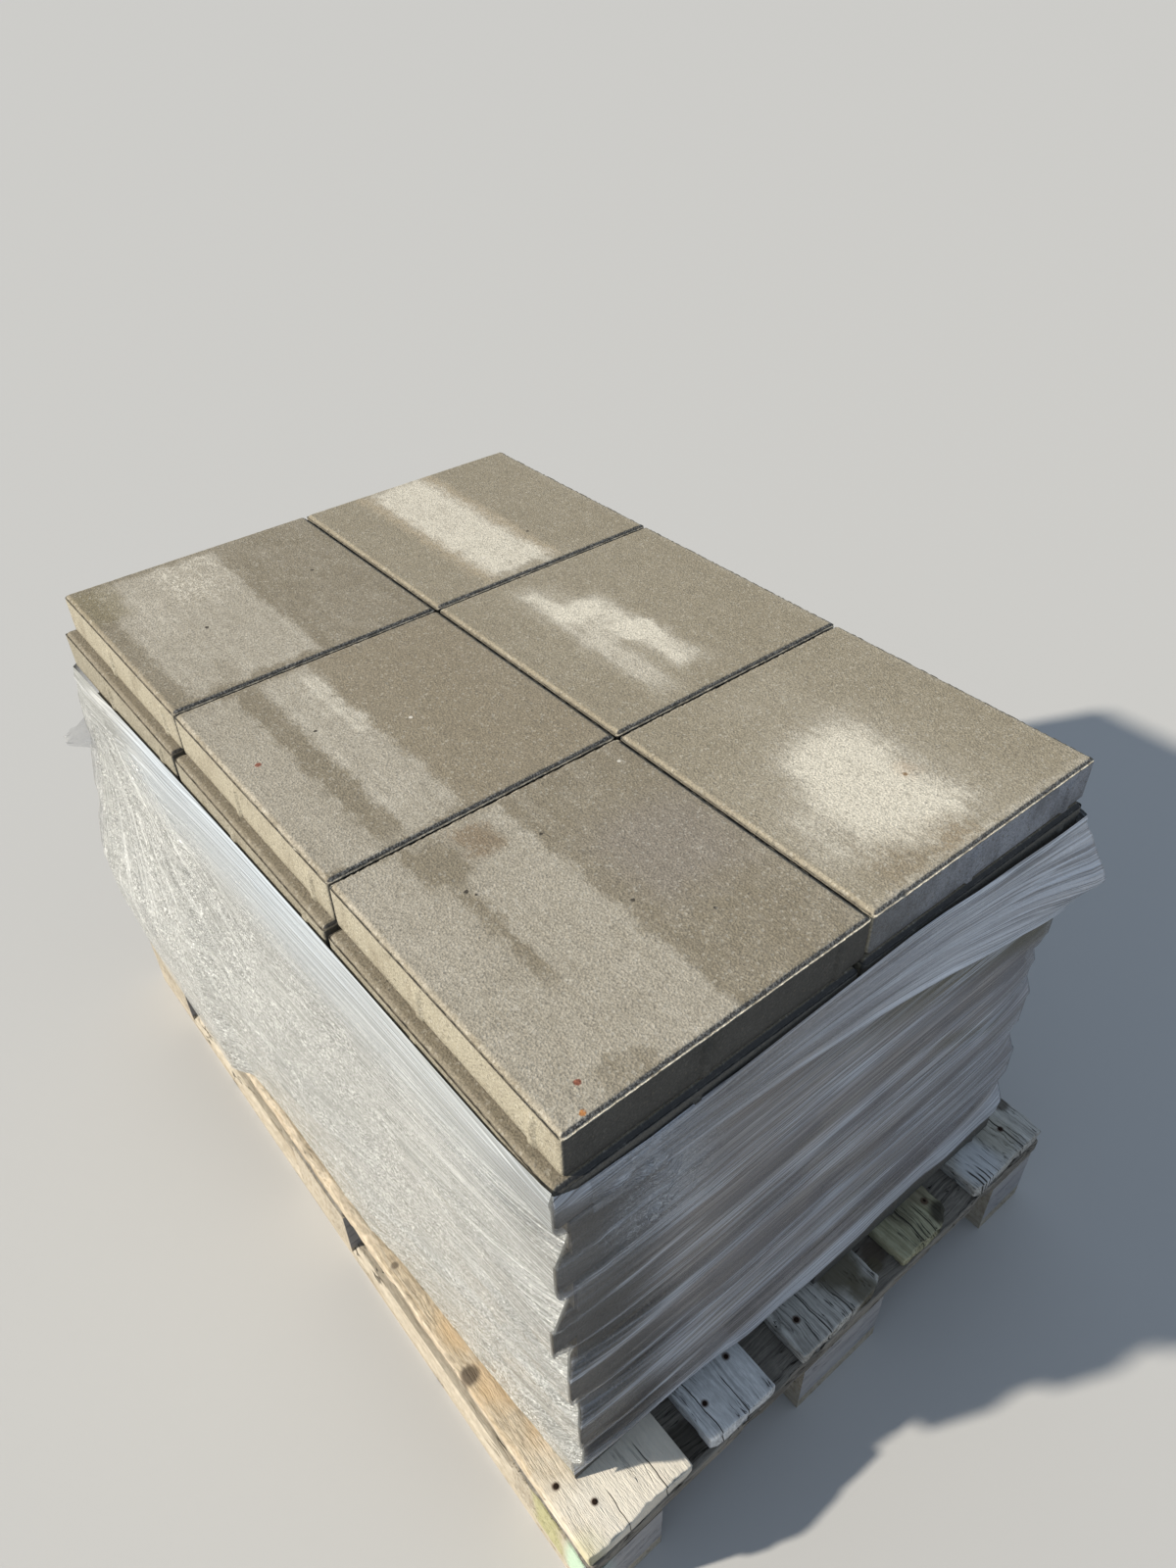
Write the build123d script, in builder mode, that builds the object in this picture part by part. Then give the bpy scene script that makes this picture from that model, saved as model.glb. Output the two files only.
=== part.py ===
"""Pallet of square concrete paving slabs under loose stretch wrap.

Frame: millimetres, +Z up, +Y along the pallet's long side. The origin is on the floor, at the
middle of the pallet's underside.
"""
import math
import os

from build123d import *

# Paving slab
slab_side = 350.0
slab_thickness = 52.0
slab_corner_radius = 4.0
slab_chamfer = 4.0

# Spacer nibs on the slab's four sides, counted from the middle of the side
nib_width = 12.0
nib_clearance = 0.8
nib_top_drop = 12.0
nib_offsets = (-27.0, 139.0)

# Stack
columns = 2
rows = 3
tight_joint = 3.0
layer_clearance = 0.3

# Each layer from the top down: its shift along X and Y, and how much wider its joints stand open
layer_settings = [
    (-2.5, 2.0, 0.0),
    (-14.0, 1.0, 5.0),
    (-2.0, -4.0, 0.0),
    (-14.0, 4.0, 5.0),
    (0.5, -4.0, 0.0),
    (-20.0, 9.0, 8.0),
    (3.5, 4.0, 0.0),
    (-8.0, 4.0, 10.0),
    (0.0, 0.0, 0.0),
    (-2.0, 0.0, 10.0),
    (2.0, 1.0, 0.0),
    (-9.0, 1.0, 6.0),
]

# How far the left and the right column of the bottom layer have slipped along Y
bottom_slips = (5.0, -13.0)

# Pallet
pallet_width = 800.0
pallet_length = 1200.0
board_thickness = 22.0
block_height = 78.0
wide_board = 145.0
narrow_board = 100.0
block_length = 145.0
corner_cut = 14.0
lead_in = 9.0

# How far each deck board is nailed off its even place, from left to right
deck_drifts = (0.0, -11.0, -5.0, -7.0, 0.0)

# Stretch wrap
wrap_thickness = 1.5
wrap_clearance = 0.4
wrap_slack = 1.0
rim_drop = 2.0
rim_fall_long = 50.0
rim_fall_short = 18.0
far_bulge = 53.0
far_bulge_spread = 0.5
bulge_wave = 1.5
side_bulge_share = 0.5
side_point_share = 0.66
flare_reach = 40.0
flare_turn = -60.0
flare_layers_down = 3
flare_half_height = 75.0
column_share = 0.48
flare_start_share = 0.62
flare_back_share = 0.25

nib_proud = tight_joint - nib_clearance
wrap_corner_cut = 2 * nib_proud
deck_top = 3 * board_thickness + block_height
stringer_bottom = deck_top - 2 * board_thickness
layer_pitch = slab_thickness + layer_clearance
layer_count = len(layer_settings)
stack_height = layer_count * layer_pitch
stack_top = deck_top + stack_height
stack_width = columns * slab_side
stack_length = rows * slab_side
rim_depth = layer_pitch + rim_drop
flare_depth = flare_layers_down * layer_pitch


def save(part, label):
    """Label a finished piece and write it under its own name."""
    part.label = label
    export_step(part, f"parts/{label}.step")


def layer_base(layer):
    """Height of a layer's underside; layer 0 is the top one."""
    return stack_top - (layer + 1) * layer_pitch + layer_clearance


def column_slips(layer):
    """How far each column of a layer has slipped along Y."""
    if layer == layer_count - 1:
        return bottom_slips
    return (0.0,) * columns


def slab_places(layer):
    """Middle of each slab of a layer, at its underside."""
    shift_x, shift_y, extra_joint = layer_settings[layer]
    pitch = slab_side + tight_joint + extra_joint
    places = []
    for row in range(rows):
        for column, slip in enumerate(column_slips(layer)):
            x = shift_x + (column - (columns - 1) / 2) * pitch
            y = shift_y + (row - (rows - 1) / 2) * pitch + slip
            places.append((x, y, layer_base(layer)))
    return places


def layer_reach(layer):
    """Outline of a layer with its nibs: low X, low Y, high X, high Y, and the first column's low Y."""
    shift_x, shift_y, extra_joint = layer_settings[layer]
    joint = tight_joint + extra_joint
    half_x = (stack_width + (columns - 1) * joint) / 2 + nib_proud
    half_y = (stack_length + (rows - 1) * joint) / 2 + nib_proud
    slips = column_slips(layer)
    low_y = shift_y - half_y + min(slips)
    high_y = shift_y + half_y + max(slips)
    return shift_x - half_x, low_y, shift_x + half_x, high_y, shift_y - half_y + slips[0]


def make_slab(shows):
    """One slab: a chamfered top edge and two spacer nibs a side.

    A slab that shows has its corners rounded in plan and its nibs flat on top of their ridge.
    """
    half_nib = nib_width / 2
    crest = half_nib - nib_proud
    flat_nib = [(0, -half_nib), (nib_proud, -crest), (nib_proud, crest), (0, half_nib)]
    plain_nib = [(0, -half_nib), (nib_proud, 0), (0, half_nib)]
    with BuildPart() as slab:
        with BuildSketch():
            if shows:
                RectangleRounded(slab_side, slab_side, slab_corner_radius)
            else:
                Rectangle(slab_side, slab_side)
        extrude(amount=slab_thickness)
        chamfer(slab.faces().sort_by(Axis.Z)[-1].edges(), length=slab_chamfer)
        with BuildSketch():
            with PolarLocations(slab_side / 2, 4):
                with Locations(*[(0, offset) for offset in nib_offsets]):
                    Polygon(*(flat_nib if shows else plain_nib), align=None)
        extrude(amount=slab_thickness - nib_top_drop)
    return slab.part


def make_single_slabs(slab, layer, level_name):
    """The slabs of a layer that shows, each in a node of its own."""
    for number, place in enumerate(slab_places(layer), start=1):
        with BuildPart() as piece:
            with Locations(place):
                add(slab)
        save(piece.part, f"{level_name}_slab_{number}")


def make_layer(slab, layer):
    """A wrapped layer: its slabs as separate solids in one node."""
    with BuildPart() as piece:
        with Locations(*slab_places(layer)):
            add(slab)
    save(piece.part, f"slab_layer_{layer + 1:02d}")


def spread(widths, overall):
    """Middles of boards of the given widths, laid edge to edge with equal gaps over a length."""
    gap = (overall - sum(widths)) / (len(widths) - 1)
    middles = []
    edge = -overall / 2
    for width in widths:
        middles.append(edge + width / 2)
        edge += width + gap
    return middles


deck_widths = [wide_board, narrow_board, wide_board, narrow_board, wide_board]
runner_widths = [narrow_board, wide_board, narrow_board]
deck_middles = spread(deck_widths, pallet_width)
runner_middles = spread(runner_widths, pallet_width)
cross_middles = spread([block_length] * 3, pallet_length)


def on_pallet_corner(point):
    """Whether a point in plan is one of the pallet's own four corners."""
    at_side = math.isclose(abs(point.X), pallet_width / 2)
    at_end = math.isclose(abs(point.Y), pallet_length / 2)
    return at_side and at_end


def cut_outer_corner(width, length, middle_x, middle_y):
    """Sketch of a block or board end with the corners on the pallet's own corners cut off."""
    with BuildSketch() as outline:
        with Locations((middle_x, middle_y)):
            Rectangle(width, length)
        outer = [corner for corner in outline.vertices() if on_pallet_corner(corner)]
        if outer:
            chamfer(outer, length=corner_cut)
    return outline.sketch


def make_deck_boards():
    """Five boards along the pallet: wide and narrow ones in turn."""
    places = zip(deck_widths, deck_middles, deck_drifts)
    for number, (width, middle, drift) in enumerate(places, start=1):
        with BuildPart() as board:
            with BuildSketch(Plane.XY.offset(deck_top - board_thickness)):
                with Locations((middle + drift, 0)):
                    Rectangle(width, pallet_length)
            extrude(amount=board_thickness)
        save(board.part, f"deck_board_{number}")


def make_stringer_boards():
    """Three cross boards between the deck boards and the blocks."""
    for number, middle in enumerate(cross_middles, start=1):
        with BuildPart() as board:
            with BuildSketch(Plane.XY.offset(stringer_bottom)):
                with Locations((0, middle)):
                    Rectangle(pallet_width, block_length)
            extrude(amount=board_thickness)
        save(board.part, f"stringer_board_{number}")


def make_blocks():
    """Nine blocks: square ones in the middle line, narrow ones along both sides."""
    for row, middle_y in enumerate(cross_middles, start=1):
        for column, (width, middle_x) in enumerate(zip(runner_widths, runner_middles), start=1):
            outline = cut_outer_corner(width, block_length, middle_x, middle_y)
            with BuildPart() as block:
                with BuildSketch(Plane.XY.offset(board_thickness)):
                    add(outline)
                extrude(amount=block_height)
            save(block.part, f"block_{row}_{column}")


def make_bottom_boards():
    """Three runners along the pallet, bevelled where a fork enters over them."""
    entry = cross_middles[1] - cross_middles[0] - block_length
    entry_middles = [(cross_middles[0] + cross_middles[1]) / 2, (cross_middles[1] + cross_middles[2]) / 2]
    for number, (width, middle_x) in enumerate(zip(runner_widths, runner_middles), start=1):
        outline = cut_outer_corner(width, pallet_length, middle_x, 0)
        with BuildPart() as board:
            with BuildSketch():
                add(outline)
            extrude(amount=board_thickness)
            for middle_y in entry_middles:
                with BuildSketch(Plane.XZ.offset(-middle_y)):
                    for side in (-1, 1):
                        edge = middle_x + side * width / 2
                        with BuildLine():
                            Polyline(
                                (edge, board_thickness),
                                (edge - side * lead_in, board_thickness),
                                (edge, board_thickness - lead_in),
                                close=True,
                            )
                        make_face()
                extrude(amount=entry / 2, both=True, mode=Mode.SUBTRACT)
        save(board.part, f"bottom_board_{number}")


def grown_reach(first, second, growth):
    """The smallest box round two layers, grown on every side."""
    low_x = min(first[0], second[0]) - growth
    low_y = min(first[1], second[1]) - growth
    high_x = max(first[2], second[2]) + growth
    high_y = max(first[3], second[3]) + growth
    left_low_y = min(first[4], second[4]) - growth
    return low_x, low_y, high_x, high_y, left_low_y


def wrap_outline(reach, depth):
    """Corner points of the wrap at one depth below the stack's top.

    The wrap lies tight round the near corner, stands off the far left corner in a bulge and
    flares from the right corner below the rim.
    """
    low_x, low_y, high_x, high_y, left_low_y = reach
    cut = wrap_corner_cut
    rim_at_far_end = rim_depth + rim_fall_long
    fall = max(0.0, depth - rim_at_far_end) / (stack_height - rim_at_far_end)
    bulge = far_bulge * math.sin(math.pi * fall / bulge_wave)
    flare = flare_reach * max(0.0, 1.0 - abs(depth - flare_depth) / flare_half_height)
    flare_x = flare * math.cos(math.radians(flare_turn))
    flare_y = flare * math.sin(math.radians(flare_turn))
    width = high_x - low_x
    length = high_y - low_y
    return [
        (low_x, left_low_y + cut),
        (low_x + cut, left_low_y),
        (low_x + column_share * width, low_y - wrap_slack),
        (low_x + flare_start_share * width, low_y - wrap_slack),
        (high_x - cut + flare_x, low_y + flare_y),
        (high_x + flare_x, low_y + cut + flare_y),
        (high_x + wrap_slack, low_y + flare_back_share * length),
        (high_x, high_y - cut),
        (high_x - cut, high_y),
        (low_x + cut - bulge, high_y + bulge * far_bulge_spread),
        (low_x - bulge, high_y - cut + bulge * far_bulge_spread),
        (low_x - bulge * side_bulge_share - wrap_slack, low_y + side_point_share * length),
    ]


def wrap_levels():
    """Depths and layer outlines of the wrap's sections.

    Every second layer stands proud, and the wrap runs straight down it. It draws in to the
    middle of the layer below and comes out again.
    """
    levels = []
    for layer in range(1, layer_count, 2):
        own = layer_reach(layer)
        above = layer_reach(layer - 1) if layer > 1 else own
        levels.append((layer * layer_pitch, above, own))
        if layer + 1 < layer_count:
            below = layer_reach(layer + 1)
            levels.append(((layer + 1) * layer_pitch, own, below))
            levels.append(((layer + 1.5) * layer_pitch, below, below))
    last = layer_reach(layer_count - 1)
    levels.append((stack_height - layer_clearance, last, last))
    return levels


def make_wrap():
    """The stretch wrap as one thin skin, drawn in at the set-back layers, with a sloping rim."""
    inner = wrap_clearance
    outer = wrap_clearance + wrap_thickness
    low_x, low_y = layer_reach(1)[:2]
    rim_plane = Plane(
        origin=(low_x, low_y, stack_top - rim_depth),
        z_dir=(rim_fall_short / stack_width, rim_fall_long / stack_length, 1),
    )
    with BuildPart() as wrap:
        for growth, mode in ((outer, Mode.ADD), (inner, Mode.SUBTRACT)):
            for depth, first, second in wrap_levels():
                with BuildSketch(Plane.XY.offset(stack_top - depth)):
                    with BuildLine():
                        Polyline(*wrap_outline(grown_reach(first, second, growth), depth), close=True)
                    make_face()
            loft(ruled=True, mode=mode)
        split(bisect_by=rim_plane, keep=Keep.BOTTOM)
    save(wrap.part, "stretch_wrap")


def build():
    """Make every piece and write it to its own file."""
    os.makedirs("parts", exist_ok=True)
    open_slab = make_slab(shows=True)
    make_single_slabs(open_slab, 0, "top")
    make_single_slabs(open_slab, 1, "second")
    wrapped_slab = make_slab(shows=False)
    for layer in range(2, layer_count):
        make_layer(wrapped_slab, layer)
    make_deck_boards()
    make_stringer_boards()
    make_blocks()
    make_bottom_boards()
    make_wrap()


build()
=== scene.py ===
"""Looks of a pallet of concrete paving slabs under loose stretch film.

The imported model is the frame: metres, +Z up, +Y along the pallet's long side, origin on the floor
under the pallet's middle. Slabs, boards and film are built in mesh code round its boxes.
"""
import math

import bpy
import numpy as np
from mathutils import Matrix, Vector


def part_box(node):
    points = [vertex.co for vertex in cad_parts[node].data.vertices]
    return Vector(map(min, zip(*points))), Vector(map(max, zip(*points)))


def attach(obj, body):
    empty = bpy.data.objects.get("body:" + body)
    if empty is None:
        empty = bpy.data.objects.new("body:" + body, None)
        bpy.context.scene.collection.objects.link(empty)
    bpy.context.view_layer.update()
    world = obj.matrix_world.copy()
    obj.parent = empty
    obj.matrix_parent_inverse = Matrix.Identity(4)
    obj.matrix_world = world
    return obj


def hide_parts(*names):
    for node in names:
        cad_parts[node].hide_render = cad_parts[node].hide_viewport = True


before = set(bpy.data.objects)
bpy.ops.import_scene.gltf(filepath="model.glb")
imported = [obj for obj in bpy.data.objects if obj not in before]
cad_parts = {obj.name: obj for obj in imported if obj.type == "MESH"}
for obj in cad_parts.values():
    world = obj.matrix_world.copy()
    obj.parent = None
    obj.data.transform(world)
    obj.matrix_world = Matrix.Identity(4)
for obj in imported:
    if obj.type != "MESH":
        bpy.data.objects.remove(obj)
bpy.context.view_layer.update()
MM = 0.001

# Camera, solved from the slab joints of the 1200 x 1600 photograph
CAMERA_PLACE = (-0.6252, -0.9137, 1.4940)
CAMERA_RIGHT = (0.775985, -0.630449, -0.019499)
CAMERA_DOWN = (-0.410658, -0.481509, -0.774280)
CAMERA_AHEAD = (0.478755, 0.608837, -0.632543)
CAMERA_SENSOR = 36.0
CAMERA_LENS = 25.763
CAMERA_REACH = 200

# Light
SUN_TRAVEL = (0.788, -0.359, -0.5)
SUN_STRENGTH = 6.2
SUN_SPREAD = 2.0
SUN_COLOUR = (1.0, 0.93, 0.80)
SKY_COLOUR = (0.68, 0.82, 1.0)
SKY_STRENGTH = 0.50
FLOOR_COLOUR = (0.46, 0.455, 0.45)
FLOOR_HALF = 40.0

# Paving slab
CHAMFER = 4 * MM
CORNER_RADIUS = 4 * MM
CORNER_STEPS = 4
NIB_PROUD = 2.2 * MM
NIB_HALF = 6 * MM
NIB_OFFSETS = (-27 * MM, 139 * MM)
NIB_TOP_DROP = 12 * MM
BURR_HEIGHT = 1.1 * MM
EDGE_STEP = 3.5 * MM

# Stack, counted from the top; the first two layers have a node for each slab
LAYERS = 12
SINGLE_LEVELS = {1: "top", 2: "second"}
LAYER_SLABS = range(1, 7)
# Tones of the layers that are one node, darkest first
LAYER_TONES = (0.82, 0.88, 0.94)
SECOND_TONE = 0.80


def smooth(value, low, high):
    """0 below low, 1 above high, and an S curve between."""
    share = np.clip((np.asarray(value, float) - low) / (high - low), 0, 1)
    return share * share * (3 - 2 * share)


def lattice(cells, seed):
    """A random number from 0 to 1 for each row of whole numbers."""
    mixed = np.full(len(cells), seed * 2654435761 % 2**32, np.uint64)
    mask = np.uint64(0xFFFFFFFF)
    for column, prime in zip(cells.T, (374761393, 668265263, 2246822519)):
        mixed = (mixed ^ (column.astype(np.int64) & 0xFFFFFFFF).astype(np.uint64)) * np.uint64(prime) & mask
        mixed = (mixed ^ (mixed >> np.uint64(15))) * np.uint64(2246822519) & mask
        mixed ^= mixed >> np.uint64(13)
    return mixed / 2**32


def noise(points, size, seed=0):
    """Smooth random field from 0 to 1 at points; size is the grain in metres, one number or one an axis."""
    place = np.asarray(points, float) / np.asarray(size, float)
    cell = np.floor(place).astype(np.int64)
    share = place - cell
    share = share * share * (3 - 2 * share)
    total = np.zeros(len(place))
    for corner in range(2 ** place.shape[1]):
        bits = np.array([corner >> axis & 1 for axis in range(place.shape[1])])
        weight = np.where(bits, share, 1 - share).prod(axis=1)
        total += weight * lattice(cell + bits, seed)
    return total


def layered(points, size, seed=0, octaves=3):
    """Noise with finer noise on it, from 0 to 1."""
    total = np.zeros(len(points))
    for octave in range(octaves):
        total += noise(points, np.asarray(size, float) / 2**octave, seed + 17 * octave) / 2**octave
    return total / (2 - 2 ** (1 - octaves))


def ridges(points, size, seed=0):
    """Noise with sharp crests, 1 on a crest."""
    return 1 - np.abs(2 * noise(points, size, seed) - 1)


def creases(points, size, seed, sharp=5):
    """Narrow ridges from 0 to 1 that run long along the first axis and come and go."""
    slow = np.asarray(size, float) * (0.4, 2.5)
    return ridges(points, size, seed) ** sharp * smooth(noise(points, slow, seed + 90), 0.25, 0.75)


def new_piece(name, points, faces, material, slot, *nodes):
    """A smooth-shaded mesh that rides on the pallet and stands for the nodes named."""
    mesh = bpy.data.meshes.new(name)
    mesh.from_pydata(np.asarray(points).tolist(), [], [tuple(face) for face in faces])
    mesh.validate()
    mesh.shade_smooth()
    piece = bpy.data.objects.new(name, mesh)
    bpy.context.scene.collection.objects.link(piece)
    piece.data.materials.append(material)
    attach(piece, "root")
    if nodes:
        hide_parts(*nodes)
    return piece


def grid_faces(rows, columns, closed):
    """Quads between rows of points; closed joins each row's last point to its first."""
    across = columns if closed else columns - 1
    row, column = np.meshgrid(np.arange(rows - 1), np.arange(across), indexing="ij")
    after = (column + 1) % columns
    near, far = row * columns, (row + 1) * columns
    corners = [near + column, near + after, far + after, far + column]
    return np.stack([corner.ravel() for corner in corners], axis=1).tolist()


def dress_node(node, material, width, segments):
    """Gives a solid of the frame a material and worn edges."""
    node.data.materials.clear()
    node.data.materials.append(material)
    bevel = node.modifiers.new("worn_edges", "BEVEL")
    bevel.width = width
    bevel.segments = segments


def feed(tree, socket, value):
    """Gives a socket a field, a constant or, with None, nothing."""
    if isinstance(value, Field):
        tree.links.new(value.socket, socket)
    elif value is not None:
        socket.default_value = (*value, 1.0) if socket.type == "RGBA" and len(value) == 3 else value


def add_node(tree, kind, inputs, **settings):
    """A shader node with its settings; inputs maps a socket's name or number to what it is fed."""
    made = tree.nodes.new(kind)
    for name, value in settings.items():
        setattr(made, name, value)
    for socket, value in inputs.items():
        feed(tree, made.inputs[socket], value)
    return made


class Field:
    """A number, colour or place that varies over a surface, so that materials read as arithmetic."""

    def __init__(self, tree, socket):
        self.tree = tree
        self.socket = socket

    def node(self, kind, inputs, output=0, **settings):
        return Field(self.tree, add_node(self.tree, kind, inputs, **settings).outputs[output])

    def maths(self, operation, *values):
        return self.node("ShaderNodeMath", dict(enumerate(values)), operation=operation)

    def __add__(self, other):
        return self.maths("ADD", self, other)

    def __sub__(self, other):
        return self.maths("SUBTRACT", self, other)

    def __rsub__(self, other):
        return self.maths("SUBTRACT", other, self)

    def __mul__(self, other):
        """A number times another, or a colour made lighter or darker."""
        if self.socket.type == "VALUE":
            return self.maths("MULTIPLY", self, other)
        return self.node("ShaderNodeVectorMath", {0: self, "Scale": other}, operation="SCALE")

    def __abs__(self):
        return self.maths("ABSOLUTE", self)

    def __lt__(self, other):
        return self.maths("LESS_THAN", self, other)

    def __gt__(self, other):
        return self.maths("GREATER_THAN", self, other)

    def root(self):
        return self.maths("SQRT", self)

    def at_least(self, other):
        """The larger of two numbers."""
        return self.maths("MAXIMUM", self, other)

    def clamped(self):
        """Kept from 0 to 1."""
        return self.node("ShaderNodeClamp", {0: self})

    def between(self, low, high, start=0.0, end=1.0):
        """Smooth step from start, at low and under it, to end, at high and over it."""
        inputs = {"Value": self, "From Min": low, "From Max": high, "To Min": start, "To Max": end}
        return self.node("ShaderNodeMapRange", inputs, "Result", interpolation_type="SMOOTHSTEP")

    def within(self, low, high):
        """1 at low and under it, falling to 0 at high."""
        return self.between(low, high, 1.0, 0.0)

    def line(self, low, high):
        """Narrow lines where noise passes its middle value."""
        return abs(self - 0.5).within(low, high)

    def mix(self, first, second):
        """The first colour where this is 0 and the second where it is 1."""
        inputs = {0: self, 6: first, 7: second}
        return self.node("ShaderNodeMix", inputs, 2, data_type="RGBA", clamp_result=True)

    def toward(self, other, share):
        """This colour with a share of another."""
        return share.mix(self, other)

    def axes(self):
        """The three parts of a place, a direction or a colour."""
        parts = add_node(self.tree, "ShaderNodeSeparateXYZ", {0: self}).outputs
        return [Field(self.tree, part) for part in parts]

    def moved(self, by):
        return self.node("ShaderNodeVectorMath", {0: self, 1: by}, operation="ADD")

    def scaled(self, sizes):
        """Coordinates divided by grain sizes in metres, one number or one an axis."""
        factors = [1 / size for size in np.broadcast_to(sizes, 3)]
        return self.node("ShaderNodeVectorMath", {0: self, 1: factors}, operation="MULTIPLY")

    def noise(self, sizes, detail=3.0, roughness=0.5, distortion=0.0):
        inputs = {"Vector": self.scaled(sizes), "Scale": 1.0, "Detail": detail}
        inputs.update({"Roughness": roughness, "Distortion": distortion})
        return self.node("ShaderNodeTexNoise", inputs, "Fac")

    def grains(self, sizes):
        """Cells: how far each place is from its cell's middle, and three random numbers for each cell."""
        cells = add_node(self.tree, "ShaderNodeTexVoronoi", {"Vector": self.scaled(sizes), "Scale": 1.0})
        return Field(self.tree, cells.outputs["Distance"]), Field(self.tree, cells.outputs["Color"]).axes()

    def bump(self, distance, strength):
        inputs = {"Height": self, "Distance": distance, "Strength": strength}
        return self.node("ShaderNodeBump", inputs, "Normal")


class Surface:
    """A material and its node tree."""

    def __init__(self, name):
        self.material = bpy.data.materials.new(name)
        self.material.use_nodes = True
        self.tree = self.material.node_tree

    def field(self, kind, output, **settings):
        return Field(self.tree, add_node(self.tree, kind, {}, **settings).outputs[output])

    def place(self):
        return self.field("ShaderNodeTexCoord", "Object")

    def facing(self):
        """The three parts of the direction that the surface faces."""
        return self.field("ShaderNodeNewGeometry", "Normal").axes()

    def finish(self, **sockets):
        """Feeds the Principled shader's sockets, given with _ for a space."""
        for name, value in sockets.items():
            feed(self.tree, self.tree.nodes["Principled BSDF"].inputs[name.replace("_", " ")], value)
        return self.material


def box_patch(x, y, box, soft):
    """1 inside a box in plan and 0 outside, with soft edges; the sizes are in mm."""
    low_x, low_y, high_x, high_y = [value * MM for value in box]
    soft_x, soft_y = [value * MM for value in soft]
    in_x = x.between(low_x - soft_x, low_x + soft_x) * x.within(high_x - soft_x, high_x + soft_x)
    in_y = y.between(low_y - soft_y, low_y + soft_y) * y.within(high_y - soft_y, high_y + soft_y)
    return in_x * in_y


def gap_to(x, y, spot):
    """Distance in plan from a spot, whose place is in mm."""
    from_x, from_y = x - spot[0] * MM, y - spot[1] * MM
    return (from_x * from_x + from_y * from_y).root()


# Concrete
BLEACHED = (0.622, 0.580, 0.494)
DRY = (0.378, 0.345, 0.287)
DAMP = (0.216, 0.185, 0.135)
SOAKED = (0.135, 0.118, 0.090)
PALE_GRAIN = (0.62, 0.59, 0.52)
DARK_GRAIN = (0.085, 0.078, 0.066)
FACE = (0.335, 0.305, 0.236)
# Painted shade for the slab sides that face -Y, away from the light; bluish, for sky light, on the top slabs'
# right column
FRONT_SHADE = (0.125, 0.120, 0.108)
FRONT_SHADE_DARK = (0.070, 0.067, 0.060)
SKYLIT_FRONT_SHADE = (0.265, 0.280, 0.315)
SKYLIT_FRONT_SHADE_DARK = (0.165, 0.172, 0.190)
# Painted shade and dirt on chamfers that lean to -Y, away from the light, with paler speckles on the top
# slabs
CHAMFER_SHADE_AND_DIRT = (0.040, 0.040, 0.042)
CHAMFER_PALE = (0.270, 0.262, 0.250)
# Painted highlight on the burr at a top slab's chamfer foot, where it faces up on the front
FOOT_HIGHLIGHT = (0.800, 0.735, 0.610)
# A broken dark line at the chamfer's foot: dirt and the burr's painted shadow
FOOT_DIRT_AND_SHADOW = (0.085, 0.074, 0.056)
# Sides of a slab nearer the middle than this along X and Y stand in a joint and get painted shade there
JOINT_REACH = (0.338, 0.508)
JOINT_SOFT = 5 * MM
JOINT_SHADE = (0.012, 0.011, 0.010)
# In front of this place along Y the lower layers lie under the top layer's edge, and there they get painted
# shade
OVERHANG_Y = -0.5265

# Dry and damp marks on the six top slabs, in mm: low x, low y, high x, high y, edge softness x and y,
# and how much drier (+) or damper (-) it is there
TOP_MARKS = [
    ((-325, 193, -158, 514), (6, 8), 0.75),
    ((-352, -166, -190, 168), (6, 8), 0.62),
    ((-256, -150, -194, 160), (10, 20), 0.12),
    ((-352, -525, -166, -180), (6, 8), 0.68),
    ((-214, 10, -194, 152), (5, 15), 0.25),
    ((-288, -160, -258, 165), (6, 20), -0.75),
    ((-282, 199, -258, 252), (10, 12), -0.35),
    ((-352, 420, -300, 520), (12, 20), -0.30),
    ((-284, -250, -238, -184), (8, 10), -0.85),
    ((-271, -401, -257, -250), (5, 30), -0.65),
    ((-299, -525, -246, -493), (8, 8), -0.50),
    ((-231, -239, -194, -187), (8, 8), -0.45),
    ((94, 190, 200, 530), (20, 24), 1.30),
    ((80, -156, 120, 154), (15, 25), 0.75),
    ((98, 40, 152, 134), (16, 16), 0.60),
    ((122, -44, 176, 76), (16, 16), 0.80),
    ((138, -122, 187, -6), (16, 16), 0.90),
    ((84, -126, 178, 76), (26, 30), 0.38),
    ((12, -519, 250, -295), (45, 35), 0.40),
    ((6, -480, 96, -372), (26, 30), 0.50),
    ((86, -494, 202, -312), (34, 36), 1.05),
    ((95, -312, 210, -189), (24, 24), 0.26),
    # The last two make pale strips along the right column's front and right top edges
    ((4, -529, 347, -513), (8, 5), 0.60),
    ((337, -522, 352, 522), (4, 15), 0.30),
]

# Fine pale networks on the top slabs, given in the same way
TOP_NETS = [
    ((-250, 390, -158, 520), (20, 20), 0.45),
    ((265, 250, 336, 390), (20, 30), 0.50),
    ((80, 200, 215, 520), (20, 20), 0.35),
    ((20, -520, 330, -200), (40, 40), 0.25),
]

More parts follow.
